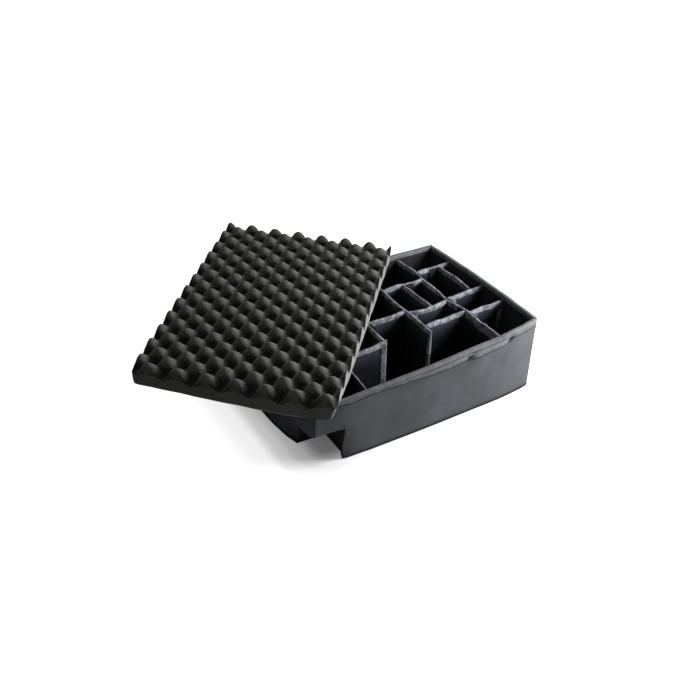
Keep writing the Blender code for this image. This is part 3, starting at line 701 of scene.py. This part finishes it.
# How far the outer nylon stands off its foam: slack, a few soft folds, and the pull of the two tacks
def coverSlack(side, run, z):
    stand = wallRipple(side, run, z * 0.8, slack["wide"]) + wallRipple(side, run * 1.2, z, slack["fine"])
    for tack in tacks if side == "front" else ():
        fold = np.exp(-((run - tack["run"]) / (tack["size"] * 1.6)) ** 2 - ((z - tackHeight) / (11 * mm)) ** 2)
        below = np.clip((tackHeight - z) / (60 * mm), 0, 1)
        bulge = slack["bulge"] * np.exp(-((run - tack["run"] - 18 * mm) / (26 * mm)) ** 2) * below * (1 - below) * 4
        stand = stand - tack["depth"] * 0.6 * fold + bulge
    return stand * ramp(z, 0, 14 * mm)


def makeWallSheet(side, label, sheet):
    shares = wallShares(side, sheet["count"])
    runs = shares * halfRun[side]
    rows, level = sheet["rows"] // 2 + 1, tray["wellHeight"]
    heights = np.concatenate((np.linspace(foot, level, rows), np.linspace(level, sheet["top"], rows)[1:]))
    layers = np.array([depths[layer] for layer in sheet["layers"]])
    isCover = label == "cover_nylon"

    def place(i, j, k):
        z = heights[k]
        stand = coverSlack(side, runs[i], z) * (np.abs(shares[i]) < 0.97) if isCover else 0.0
        x, y, sunk = sunkPlace(side, shares[i], layers[j], z, stand)
        return hang(x, y, z, sunk)

    # Painted shade beside the front wheel well and near the front left corner
    def shade(i, j, k):
        edge, reach, height, strength, corner = wellShade[side]
        past = runs[i] - edge
        besideWell = strength * np.exp(-(past / reach) ** 2) * (past > -2 * mm)
        besideWell = besideWell * np.clip(1.15 - heights[k] / height, 0, 1)
        return np.maximum(besideWell, corner * np.clip(1.8 - (1 + shares[i]) * halfRun[side] / (45 * mm), 0, 1))

    item = cellSkin(f"{side}_{label}", outsideWell(side, shares, heights)[:, None, :], place,
                    lambda i, j, k: (runs[i], heights[k]), shade=shade if isCover and side in wellShade else None)
    dress(item, cloth[sheet["cloth"]], "tray", sheet["slot"], [f"{side}_{sheet['node']}"], sheet.get("fill"))


for side in halfRun:
    for label, sheet in wallSheets.items():
        makeWallSheet(side, label, sheet)
print("walls made")


# Rim hem: nylon turned over the top of each wall, with a lip outside that two tacks hold down
hem = {
    "lip": 10.5 * mm, "innerLip": 9 * mm, "thick": 0.9 * mm, "radius": 2.2 * mm, "flare": 1.2 * mm, "groove": 0.2,
    "grooveDepth": 0.6 * mm, "lipShadowCord": 0.75 * mm, "seamEnd": 0.965, "seamLine": 0.055, "count": 110, "pushedIn": -0.7 * mm,
    "ruffle": (34 * mm, 31, 0.5 * mm), "wave": (70 * mm, 41, 0.5 * mm),      # waves: length, seed and size
    "scallop": (60 * mm, 47, 1.0 * mm), "fine": (20 * mm, 51, 0.5 * mm),
    "sag": ((-110, -50, 0, 60, 120, 160, 176, 195, 240), (0, 4, 8, 9, 11, 10, 4, 2, 1)),     # the front lip's, in mm
    "steps": (0, 0.03, 0.06, 0.12, 0.165, 0.185, 0.2, 0.215, 0.235, 0.28, 0.36, 0.38, 0.40, 0.425, 0.45, 0.5, 0.55, 0.6,
              0.625, 0.65, 0.675, 0.7, 0.8, 0.9, 1),
}


# Depth into the wall and height, for t from 0 at the outer lip's edge to 1 at the inner lip's edge
def hemProfile(t, inset):
    outerDepth, innerDepth = inset, depths["liningIn"] + (hem["thick"] - inset) * 0.6
    top = tray["height"] - inset
    radius = hem["radius"] - inset * 0.5
    stops = [(0, tray["height"] - hem["lip"], outerDepth), (0.36, top - radius, outerDepth),
             (0.40, top - radius * 0.3, outerDepth + radius * 0.3), (0.45, top, outerDepth + radius),
             (0.6, top, innerDepth - radius), (0.65, top - radius * 0.3, innerDepth - radius * 0.3),
             (0.7, top - radius, innerDepth), (1, tray["height"] - hem["innerLip"], innerDepth)]
    places, heights, inward = zip(*stops)
    return np.interp(t, places, inward), np.interp(t, places, heights)


def hemPoint(side, share, t, within=False):
    outer, inner = hemProfile(t, 0), hemProfile(t, hem["thick"])
    depth, z = (np.where(within, inner[n], outer[n]) for n in (0, 1))
    run = share * halfRun[side]
    calm = np.clip((1 - np.abs(share)) / 0.06, 0, 1)
    lipness = np.clip((0.3 - t) / 0.3, 0, 1)
    stand = (wallRipple(side, run, t * 20 * mm, hem["ruffle"]) + hem["flare"]) * lipness * calm
    stand = stand - hem["grooveDepth"] * np.exp(-((t - hem["groove"]) / 0.02) ** 2) * calm
    z = z + wallRipple(side, run, 0, hem["wave"]) * calm
    z = z + (wallRipple(side, run, 0, hem["scallop"]) + wallRipple(side, run, 0, hem["fine"])) * lipness * calm
    if side == "front":
        sag = np.interp(run / mm, *hem["sag"])
        stand = stand + 0.16 * mm * sag * lipness
        z = z - mm * sag * lipness ** 1.5
        for tack in tacks:
            near = np.exp(-((run - tack["run"]) / tack["size"]) ** 2)
            stand = stand - tack["depth"] * near * np.clip(1.2 - t * 3, 0, 1)
        stand = np.maximum(stand, hem["pushedIn"])
    return sunkPlace(side, share, depth, z, stand)


def makeHem(side):
    shares, steps = wallShares(side, hem["count"]), np.array(hem["steps"])
    kept = np.ones((len(shares) - 1, len(steps) - 1, 1), bool)
    # The shade attribute paints a dark line along the groove, as painted shade
    item = cellSkin(f"{side}_rim_binding", kept, lambda i, j, k: hemPoint(side, shares[i], steps[j], k == 1),
                    lambda i, j, k: (shares[i] * halfRun[side], steps[j] * 30 * mm), 50,
                    lambda i, j, k: 0.85 * (np.abs(steps[j] - hem["groove"]) < 0.02))
    dress(item, cloth["hemNylon"], "tray", "hem_nylon", [f"{side}_rim_hem"])
    along = np.linspace(-hem["seamEnd"], hem["seamEnd"], 160)
    makeThread(f"{side}_rim_thread", [list(zip(*hemPoint(side, along, hem["seamLine"])))], "tray", "seam", "hem")
    # A thin dark cord just under the lip's edge stands for the shadow line under the lip: a painted shadow
    x, y, z = hemPoint(side, along, 0)
    makeCord(f"{side}_rim_edge_cord", list(zip(x, y, z - 0.6 * hem["lipShadowCord"])), hem["lipShadowCord"])


def makeTacks():
    lines = []
    for tack in tacks:
        share = (tack["run"] + np.linspace(-6, 6, 11) * mm) / halfRun["front"]
        lines += [list(zip(*hemPoint("front", share, t))) for t in (0, 0.04, 0.08)]
    makeThread("front_rim_tacks", lines, "tray", "seam", "tack")


for side in halfRun:
    makeHem(side)
    if side == "front":
        makeTacks()
print("hems made")


# Base: floor lining, board and underside, cut round the two wheel wells
lined = depths["liningIn"] + 0.3 * mm
baseSheets = {
    "underside_nylon": {"inward": depths["coverOut"], "margin": 0, "low": 0, "thick": 0.8 * mm, "cloth": "seamNylon",
                        "slot": "outer_nylon", "node": "base_cover"},
    "base_foam_board": {"inward": lined, "margin": 5.3 * mm, "low": foot, "thick": 6 * mm, "cloth": "innerFoam",
                        "slot": "wall_foam", "node": "base_board", "fill": 1.0},
    "floor_lining": {"inward": lined, "margin": 5.3 * mm, "low": 7.4 * mm, "thick": 0.8 * mm, "cloth": "liningLoop",
                     "slot": "loop_lining", "node": "base_lining"},
}


def makeBaseSheet(name, sheet):
    cutRight, cutInner = wellRight + sheet["margin"], wellInner - sheet["margin"]
    xs = np.concatenate(([-1], np.linspace(-236 * mm, cutRight, 5), np.linspace(cutRight, 234 * mm, 22)[1:], [1]))
    ys = np.concatenate(([-1], np.linspace(-156 * mm, -cutInner, 5), np.linspace(-cutInner, cutInner, 12)[1:],
                         np.linspace(cutInner, 160 * mm, 5)[1:], [1]))
    cut = ((xs[1:] + xs[:-1]) / 2 < cutRight)[:, None] & (np.abs(ys[1:] + ys[:-1]) / 2 > cutInner)[None, :]

    def place(i, j, k):
        x, y, z = xs[i], ys[j], sheet["low"] + sheet["thick"] * k
        spanX, spanY = np.clip(x, -halves[0], halves[0]), np.clip(y, -halves[1], halves[1])
        left, right = (outward[side] * wallReach(side, spanY, sheet["inward"], z) for side in ("left", "right"))
        front, back = (outward[side] * wallReach(side, spanX, sheet["inward"], z) for side in ("front", "back"))
        x = np.where(i == 0, left, np.where(i == len(xs) - 1, right, x))
        y = np.where(j == 0, front, np.where(j == len(ys) - 1, back, y))
        return hang(x, y, z)

    item = cellSkin(name, ~cut[:, :, None], place, lambda i, j, k: (xs[i], ys[j]))
    dress(item, cloth[sheet["cloth"]], "tray", sheet["slot"], [sheet["node"]], sheet.get("fill"))


for name, sheet in baseSheets.items():
    makeBaseSheet(name, sheet)
print("base made")


# Wheel wells: padded boards in black cloth, drawn up at the corner. They reach a little into the lining, so that
# no light comes through at their edges, and stand a hair in from its cut edges.
well = {"foam": 5 * mm, "tuck": 0.9 * mm, "step": 0.05 * mm, "panelTop": 69.7 * mm, "bevel": 1.2 * mm, "cells": 14}


def fixed(value):
    return lambda z: value + 0 * z


def atWall(side, run):
    return lambda z: outward[side] * wallReach(side, run, depths["liningIn"] - well["tuck"], z)


def makeWellBoard(name, xs, ys, zs, node):
    cells = well["cells"]

    def place(i, j, k):
        z = zs[0] + (zs[1] - zs[0]) * k / cells
        x, y = (ends[0](z) + (ends[1](z) - ends[0](z)) * n / cells for ends, n in ((xs, i), (ys, j)))
        return hang(x, y, z, settle(x, y, z, tray["rimSagEnd"]))

    item = cellSkin(name, np.ones((cells, cells, cells), bool), place, lambda i, j, k: (i * 5 * mm, k * 5 * mm + j * mm))
    bevel = item.modifiers.new("softEdge", "BEVEL")
    bevel.width = well["bevel"]
    bevel.segments = 3
    bevel.limit_method = "ANGLE"
    bevel.angle_limit = math.radians(50)
    dress(item, cloth["blackCloth"], "tray", "loop_lining", [node], fill=1.0)


for side in ("front", "back"):
    sign = outward[side]
    inner = (fixed(sign * (wellInner - well["step"])), fixed(sign * (wellInner - well["foam"])))
    right = (fixed(wellRight + well["step"]), fixed(wellRight + well["foam"]))
    upright = (foot, well["panelTop"])
    level = [tray["wellHeight"] + rise for rise in (well["step"], well["foam"])]
    boards = {
        ("right_board", "right_panel"): (right, (atWall(side, wellRight), inner[1]), upright),
        ("inner_board", "inner_panel"): ((atWall("left", sign * wellInner), fixed(wellRight - 0.3 * mm)), inner, upright),
        ("top_board", "roof"): ((atWall("left", sign * halves[1]), right[1]), (atWall(side, -halves[0]), inner[1]), level),
    }
    for (piece, node), form in boards.items():
        makeWellBoard(f"{side}_well_{piece}", *form, f"{side}_well_{node}")
print("wheel wells made")


# Seams: a thin cord up each corner, and piping round the foot
cordRadius = {"corner": 1.1 * mm, "foot": 1.8 * mm}
seamFoot = {"left": 70.5 * mm, "right": 3.8 * mm}
seamTop = 149 * mm


def cornerLine(side, end, low):
    z = np.linspace(low, seamTop, 30)
    x, y, sunk = sunkPlace(side, np.full(30, end), 0.9 * mm, z)
    return list(zip(*hang(x, y, z, sunk)))


for side in ("front", "back"):
    for end, low in seamFoot.items():
        line = cornerLine(side, float(outward[end]), low)
        makeCord(f"{side}_{end}_seam_cord", line, cordRadius["corner"], nodes=[f"{side}_{end}_corner_seam"])


def footLine():
    z = cordRadius["foot"] + 0.05 * mm

    def along(side, start, end, count):
        return list(zip(*wallPlace(side, np.linspace(start, end, count) / halfRun[side], 0.3 * mm, z)))

    wellX, wellY = wellRight - 1.9 * mm, wellInner + 1.9 * mm
    line = along("front", wellX, 249.9 * mm, 60)
    line += along("right", -174.5 * mm, 174.5 * mm, 44)[1:]
    line += along("back", 249.5 * mm, wellX, 60)
    line += [(wellX, wellY + step) for step in np.linspace(70 * mm, 0, 9)]
    line += [(wellX - step, wellY) for step in np.linspace(6 * mm, 60 * mm, 8)]
    line += along("left", wellY, -wellY, 40)
    line += [(wellX - step, -wellY) for step in np.linspace(60 * mm, 0, 10)]
    line += [(wellX, -wellY - step) for step in np.linspace(6 * mm, 70 * mm, 9)]
    x, y = np.array(line).T
    return [(a, b, z) for a, b in zip(*hang(x, y, np.full(len(x), z))[:2])]


# The black edge stands higher where the left wall curls into the front wheel well
def raiseNotchEdge(x, y, z):
    near = np.exp(-((x + 246 * mm) / (14 * mm)) ** 2 - ((y + 88 * mm) / (22 * mm)) ** 2)
    return x, y, z * (1 + 1.3 * near)


makeCord("foot_piping_cord", footLine(), cordRadius["foot"], True, ["foot_piping"], raiseNotchEdge)
print("seams made")


# Dividers: a loop-faced board in a nylon binding, with a hook flap folded back at each fixed end
divider = {
    "foot": 8.5 * mm, "top": 150 * mm, "board": 5 * mm, "thick": 5.8 * mm, "border": 10.5 * mm, "post": 8 * mm,
    "flap": 22 * mm, "flapThick": 1.6 * mm, "gap": 0.3 * mm, "shiftRoom": 1.2 * mm,
}
dividerHeight = divider["top"] - divider["foot"]
borderFoot = divider["top"] - divider["border"]
# For each divider: where it stands, as a share of the tray, and which way its hook flaps turn; wave is how far it
# wanders off its line, crease how uneven its top edge is, bow a bend between two places, lean how far its front top
# corner tips over, slump how far its top sinks at the front and thin how far it thins there, posts how dark its bound
# ends are painted, as painted shade, post their widths, side how dark the binding's sides are painted, as painted
# shade, wide how far the binding reaches down at the front, flap the length of the hook flaps, and gaps the room at its
# two ends, in mm.
spots = {
    "long_divider_1": {"along": "y", "at": 0.242, "flaps": (1, 1), "wave": 0.5, "crease": 0.8, "lean": -6,
                       "slump": ((0, 8, 20, 40, 70, 120, 180), (2, 10, 16, 16, 14, 7, 0)), "thin": 0.6, "side": 0.93},
    "long_divider_2": {"along": "y", "at": 0.424, "flaps": (-1, -1), "wave": 0.4, "crease": 0.8, "posts": (0, 1)},
    "long_divider_3": {"along": "y", "at": 0.610, "flaps": (0, -1), "wave": 0.5, "crease": 1.0, "posts": (0.5, 1)},
    "long_divider_4": {"along": "y", "at": 0.810, "flaps": (-1, 1), "wave": 2.4, "crease": 1.8,
                       "wide": ((0, 60, 110, 150), (9, 9, 5, 0))},
    "bay2_cross": {"along": "x", "at": 0.291, "flaps": (-1, 0), "wave": 0.5, "crease": 1.2, "posts": (1, 0.45),
                   "post": (8, 14)},
    "bay3_cross": {"along": "x", "at": 0.477, "flaps": (-1, 1), "wave": 0.8, "crease": 1.6, "gaps": (1.9, 1.2)},
    "bay4_cross_front": {"along": "x", "at": 0.300, "flaps": (-1, 1), "wave": 1.0, "crease": 1.4, "posts": (0, 1),
                         "flap": 17},
    "bay4_cross_middle": {"along": "x", "at": 0.460, "flaps": (-1, 1), "wave": 1.0, "crease": 1.6, "posts": (0, 1),
                          "post": (17, 8), "bow": (-9, 58, 152)},
    "bay4_cross_back": {"along": "x", "at": 0.731, "flaps": (-1, 1), "wave": 1.2, "crease": 1.4, "gaps": (1.1, 0.3)},
    "bay5_cross_front": {"along": "x", "at": 0.280, "flaps": (-1, 1), "wave": 0.8, "crease": 1.4, "posts": (0, 0),
                         "post": (20, 11)},
    "bay5_cross_middle": {"along": "x", "at": 0.470, "flaps": (-1, 1), "wave": 1.0, "crease": 1.4, "posts": (0, 1),
                          "post": (22, 8)},
    "bay5_cross_back": {"along": "x", "at": 0.800, "flaps": (-1, 1), "wave": 0.8, "crease": 1.2},
    "bay4_short": {"along": "y", "at": 0.716, "flaps": (1, 1), "wave": 0.8, "crease": 1.2},
    "bay5_short": {"along": "y", "at": 0.936, "flaps": (-1, -1), "wave": 0.8, "crease": 1.2},
}


def fromLeft(share):
    return tray["length"] * (share - 0.5)


def fromFront(share):
    return tray["depth"] * (share - 0.5)


def centreOf(name):
    spot = spots[name]
    return fromFront(spot["at"]) if spot["along"] == "x" else fromLeft(spot["at"])


def dividerWave(name, run):
    spot = spots[name]
    size, first, last = spot.get("bow", (0, 0, 1000))
    share = np.clip((run / mm - first) / (last - first), 0, 1)
    wander = ripple(run, 0, 150 * mm, 61 + len(name) + list(spots).index(name), spot["wave"] * mm)
    return wander + size * mm * np.sin(math.pi * share ** 0.85)


# What a divider's end meets: a wall, another divider's face, or a plain place
def onWall(side, room=0.0):
    return lambda across, z: outward[side] * (wallReach(side, across, depths["liningIn"], z) - room)


def onDivider(name, side):
    return lambda across, z: centreOf(name) + dividerWave(name, across) + side * divider["thick"] / 2 + 0 * z


def atPlace(value):
    return lambda across, z: value + 0 * across + 0 * z


ends = {
    "long_divider_1": (onWall("front", divider["shiftRoom"]), onWall("back", divider["shiftRoom"])),
    "long_divider_2": (onDivider("bay2_cross", 1), onWall("back", divider["shiftRoom"])),
    "long_divider_3": (atPlace(fromFront(0.234)), onWall("back")),
    "long_divider_4": (onWall("front"), onWall("back")),
    "bay2_cross": (onDivider("long_divider_1", 1), atPlace(fromLeft(0.424) + 3.3 * mm)),
    "bay3_cross": (onDivider("long_divider_2", 1), onDivider("long_divider_3", -1)),
    "bay4_short": (onDivider("bay4_cross_middle", 1), onDivider("bay4_cross_back", -1)),
    "bay5_short": (onDivider("bay5_cross_middle", 1), onDivider("bay5_cross_back", -1)),
}
for place in ("front", "middle", "back"):
    ends[f"bay4_cross_{place}"] = (onDivider("long_divider_3", 1), onDivider("long_divider_4", -1))
    ends[f"bay5_cross_{place}"] = (onDivider("long_divider_4", 1), onWall("right"))


# One divider's form: its size, and how its lines run, crease and sink
class DividerForm:
    def __init__(self, name):
        self.name, self.spot, self.index = name, spots[name], list(spots).index(name)
        self.centre = centreOf(name)
        self.ends = ends[name]
        self.gaps = [gap * mm for gap in self.spot.get("gaps", (divider["gap"] / mm,) * 2)]
        first, last = (end(np.array(self.centre), np.array(divider["top"])) for end in self.ends)
        self.length = float(last - first)
        self.count = max(8, int(self.length / (5 * mm)))
        self.posts = [width * mm / self.length for width in self.spot.get("post", (divider["post"] / mm,) * 2)]

    def line(self, share, across, z):
        first = self.ends[0](self.centre + across, z) + self.gaps[0]
        last = self.ends[1](self.centre + across, z) - self.gaps[1]
        return first + (last - first) * share

    def crease(self, run):
        size = self.spot["crease"] * mm
        return ripple(run, 0, 75 * mm, 81 + self.index, size) + ripple(run, 0, 24 * mm, 91 + self.index, size * 0.3)

    def sink(self, share):
        return np.interp(share * self.length / mm, *self.spot["slump"]) * mm if "slump" in self.spot else 0.0

    def thinned(self, share):
        return 1 - self.spot.get("thin", 0) * np.exp(-share * self.length / (40 * mm))

    def lean(self, share):
        return self.spot.get("lean", 0) * mm * np.exp(-share * self.length / (26 * mm))

    def place(self, run, offset, z):
        across = self.centre + dividerWave(self.name, run) + offset
        x, y = (run, across) if self.spot["along"] == "x" else (across, run)
        return x, y, settle(x, y, z, tray["dividerSagEnd"])


# Board: a soft panel that swells a little between its bound edges
def makeBoard(form):
    name, index = form.name, form.index
    shares = np.linspace(form.posts[0] - 1 * mm / form.length, 1 - form.posts[1] + 1 * mm / form.length, form.count + 1)
    levels = np.linspace(divider["foot"], borderFoot + 1 * mm, 15)

    def place(i, j, k):
        share = shares[i]
        u, w = ((steps - steps[0])[n] / (steps[-1] - steps[0]) for steps, n in ((shares, i), (levels, k)))
        swell = np.clip(4 * u * (1 - u), 0, 1) ** 0.5 * np.clip(4 * (w + 0.08) * (1 - w), 0, 1) ** 0.5
        across = (j - 2) / 4 * divider["board"] * (0.80 + 0.16 * swell) * form.thinned(share)
        run = form.line(share, across, levels[k])
        fuzz = ripple(run, levels[k], 30 * mm, 101 + index, 0.15 * mm) * np.sign(j - 2)
        hung = levels[k] + (form.crease(run) - form.sink(share)) * w ** 3
        return form.place(run, across + fuzz + form.lean(share) * w ** 3, hung)

    # The shade attribute marks the top 10 to 45 mm of the board, which the loop material paints paler: painted light
    # where the lamps reach down into the bays
    item = cellSkin(f"{name}_board", np.ones((form.count, 4, 14), bool), place,
                    lambda i, j, k: (shares[i] * form.length, levels[k]),
                    shade=lambda i, j, k: np.interp(divider["top"] - levels[k], (10 * mm, 45 * mm), (1, 0)) ** 1.5)
    dress(item, cloth["dividerLoop"], name, "divider_loop", [f"{name}_panel"], fill=1.0)


def bindingPoint(form, share, w, z):
    crownHeight = divider["border"] * 0.28
    crown = np.clip((z - (divider["top"] - crownHeight)) / crownHeight, 0, 1)
    across = w * divider["thick"] / 2 * (1 - 0.25 * crown * np.abs(w) ** 3) * form.thinned(share)
    endRound = np.exp(-np.minimum(share, 1 - share) * form.length / (1.2 * mm)) * np.abs(w) ** 4 * 0.7 * mm
    line = form.line(share, across, z) + np.where(share < 0.5, endRound, -endRound)
    pucker = ripple(line, z * 0.5, 13 * mm, 111 + form.index, 0.22 * mm) * ramp(z, borderFoot, 2 * mm) * np.sign(w)
    drop = np.interp(np.abs(w), (0, 0.6, 0.94, 1), (0, 0.125, 0.55, 1.3)) * mm
    high3 = ((z - divider["foot"]) / dividerHeight) ** 3
    hung = z - drop * crown + (form.crease(line) - form.sink(share)) * high3
    if "wide" in form.spot:
        down = np.interp(share * form.length / mm, *form.spot["wide"]) * mm
        hung = hung - down * np.clip((divider["top"] - z) / divider["border"], 0, 1) * (z > borderFoot - 1 * mm)
    return form.place(line, across + pucker + form.lean(share) * high3, hung)


# Binding: over the top edge and down both ends, rounded over the edge
def makeBinding(form):
    name, spot, (startPost, endPost) = form.name, form.spot, form.posts
    shares = np.concatenate((np.linspace(0, startPost, 4), np.linspace(startPost, 1 - endPost, form.count + 1)[1:-1],
                             np.linspace(1 - endPost, 1, 4)))
    steps = np.concatenate((np.linspace(divider["foot"], borderFoot, 14),
                            divider["top"] - divider["border"] * np.array([0.75, 0.5, 0.28, 0.12, 0])))
    width = np.array([-1, -0.94, -0.6, 0, 0.6, 0.94, 1])
    kept = np.ones((len(shares) - 1, 6, len(steps) - 1), bool)
    kept[3:-3, :, :13] = False

    # Painted shade: the posts and the sides of the binding are painted dark by posts and side
    def shade(i, j, k):
        darkness = spot.get("posts", (1, 1))
        last = len(shares) - 1
        atPost = (np.minimum(i, last - i) <= 3) & (steps[k] <= borderFoot + 0.1 * mm)
        tip = (i == 0) * (darkness[0] < 1) | (i == last) * (darkness[1] < 1)       # a light end keeps a light edge
        post = atPost * np.where(i < (last + 1) / 2, *darkness) * np.where(tip, 0.0, 1.0)
        return np.maximum(post, spot.get("side", 0) * (np.abs(width[j]) > 0.99) * (i < (last + 1) / 2))

    item = cellSkin(f"{name}_binding", kept, lambda i, j, k: bindingPoint(form, shares[i], width[j], steps[k]),
                    lambda i, j, k: (shares[i] * form.length, steps[k] + width[j] * divider["thick"] / 2), 55, shade)
    dress(item, cloth["bindingNylon"], name, "divider_trim", [f"{name}_trim"])


# Stitches: one row round the inside of the binding, on both faces
def makeBindingThread(form):
    inset = 0.9 * mm
    left, right = form.posts[0] - inset / form.length, 1 - form.posts[1] + inset / form.length
    acrossTop = np.linspace(left, right, max(12, form.count))[1:-1]
    upright = np.linspace(divider["foot"] + 2 * mm, borderFoot + inset, 16)
    path = np.concatenate((np.full(16, left), acrossTop, np.full(16, right)))
    heights = np.concatenate((upright, np.full(len(acrossTop), borderFoot + inset), upright[::-1]))
    rows = [list(zip(*bindingPoint(form, path, np.full(len(path), w), heights))) for w in (-1.04, 1.04)]
    makeThread(f"{form.name}_thread", rows, form.name, "divider_trim", "binding")


# Hook flap: folded back along what the end meets, dark, its top edge drooping a little at the outer end
def makeFlap(form, end, turn):
    out = np.array([0, 0.1, 0.3, 0.5, 0.7, 0.85, 0.95, 1])
    length = form.spot.get("flap", divider["flap"] / mm) * mm
    top = divider["top"]
    rise = np.append(np.linspace(divider["foot"], top - 6 * mm, 10), top - np.array([4.5, 2.5, 1.2]) * mm)

    def place(i, j, k):
        across = turn * (divider["thick"] / 2 - 0.3 * mm + out[i] * length)
        z = rise[k] - (k == len(rise) - 1) * np.clip((out[i] - 0.8) / 0.2, 0, 1) ** 2 * 2.5 * mm
        stand = form.gaps[end] + 0.1 * mm + divider["flapThick"] * j
        line = form.ends[end](form.centre + across, z) + (-stand if end else stand)
        change = form.crease(line) - (0 if end else form.sink(0 * across))
        hung = z + change * ((z - divider["foot"]) / dividerHeight) ** 3
        return form.place(line, across, hung)

    item = cellSkin(f"{form.name}_flap_{end + 1}", np.ones((len(out) - 1, 1, len(rise) - 1), bool), place,
                    lambda i, j, k: (out[i] * length, rise[k]))
    dress(item, cloth["hookTape"], form.name, "divider_trim")


for name in spots:
    form = DividerForm(name)
    makeBoard(form)
    makeBinding(form)
    makeBindingThread(form)
    for end, turn in enumerate(form.spot["flaps"]):
        if turn:
            makeFlap(form, end, turn)
print("dividers made")


# Studio: a white sweep that keeps the object's shadow, a soft key low on the right, two fills and a weak dome
studio = {
    "world": 0.09,
    "lamps": {"key_soft": ((0.785, -0.50, 0.52), (0.1, -0.08, 0.12), (0.5, 0.5), 26),       # place, aim, size and power
              "top_soft": ((0.2, 0.9, 2.0), (0, 0, 0.1), (1.6, 1.6), 8.5),
              "left_soft": ((-1.5, -0.9, 1.3), (0.1, 0, 0.15), (1.2, 0.8), 3.6)},
    "view": {"focal": 822.8 / 700, "elevation": 35.49, "azimuth": 31.89, "roll": 0.5,
             "place": (-0.7671, -1.1195, 1.0346)},
}
# Floor lift: how much white the floor gives off, against the distance from a box under the tray's middle
floorLift = {"box": (200 * mm, 125 * mm), "reach": 200 * mm,
             "stops": ((0.06, 0.08), (0.27, 0.32), (0.4, 0.47), (0.56, 0.80), (0.92, 1.0))}


# 1 where the camera sees it, and 0 in the light that it throws
def seenBy(tree):
    path = addNode(tree, "ShaderNodeLightPath").outputs
    return mathsIn(tree)("MAXIMUM", path["Is Camera Ray"], path["Is Transmission Ray"])


def makeFloor():
    mesh = bpy.data.meshes.new("studio_floor")
    mesh.from_pydata([(x, y, -0.4 * mm) for x, y in ((-6, -6), (6, -6), (6, 6), (-6, 6))], [], [(0, 1, 2, 3)])
    floor = placeItem("studio_floor", mesh)
    material, tree, finish = newMaterial("whiteSweep")
    m = mathsIn(tree)
    place = addNode(tree, "ShaderNodeTexCoord").outputs["Object"]
    split = addNode(tree, "ShaderNodeSeparateXYZ", {0: place}).outputs
    beyond = [m("MAXIMUM", m("SUBTRACT", m("ABSOLUTE", split[n]), floorLift["box"][n]), 0) for n in (0, 1)]
    far = m("SQRT", m("ADD", *[m("MULTIPLY", side, side) for side in beyond]))
    lift = addNode(tree, "ShaderNodeValToRGB", {0: m("DIVIDE", far, floorLift["reach"])})
    lift.color_ramp.interpolation = "EASE"
    while len(lift.color_ramp.elements) < len(floorLift["stops"]):
        lift.color_ramp.elements.new(0.5)
    for element, (spot, level) in zip(lift.color_ramp.elements, floorLift["stops"]):
        element.position = spot
        element.color = (level, level, level, 1)
    finish("Base Color", (0.6, 0.6, 0.6, 1))
    finish("Roughness", 0.9)
    finish("Specular IOR Level", 0.1)
    finish("Emission Color", (1, 1, 1, 1))
    finish("Emission Strength", m("MULTIPLY", seenBy(tree), lift.outputs[0]))
    mesh.materials.append(material)


def makeWorld():
    world = bpy.data.worlds.new("studio_world")
    bpy.context.scene.world = world
    world.use_nodes = True
    tree = world.node_tree
    back = tree.nodes["Background"].inputs
    back["Color"].default_value = (1, 1, 1, 1)
    feed(tree, back["Strength"], mathsIn(tree)("MULTIPLY_ADD", seenBy(tree), 1 - studio["world"], studio["world"]))


def makeLamp(name, place, aim, size, power):
    lamp = bpy.data.lights.new(name, "AREA")
    lamp.shape = "RECTANGLE"
    lamp.size, lamp.size_y = size
    lamp.energy = power
    item = placeItem(name, lamp)
    item.location = place
    item.rotation_euler = (Vector(aim) - Vector(place)).to_track_quat("-Z", "Y").to_euler()


def makeCamera():
    view = studio["view"]
    lift, turn, roll = (math.radians(view[key]) for key in ("elevation", "azimuth", "roll"))
    forward = Vector((math.sin(turn) * math.cos(lift), math.cos(turn) * math.cos(lift), -math.sin(lift)))
    right = Vector((math.cos(turn), -math.sin(turn), 0))
    down = forward.cross(right)
    across = right * math.cos(roll) - down * math.sin(roll)
    below = right * math.sin(roll) + down * math.cos(roll)
    camera = bpy.data.cameras.new("photo_camera")
    camera.sensor_width = 36
    camera.lens = 36 * view["focal"]
    camera.clip_start = 0.01
    item = placeItem("photo_camera", camera)
    item.matrix_world = Matrix.Translation(view["place"]) @ Matrix((across, -below, -forward)).transposed().to_4x4()
    bpy.context.scene.camera = item


makeFloor()
makeWorld()
for name, lamp in studio["lamps"].items():
    makeLamp(name, *lamp)
makeCamera()
bpy.context.scene.view_settings.view_transform = "Standard"
print("studio made")
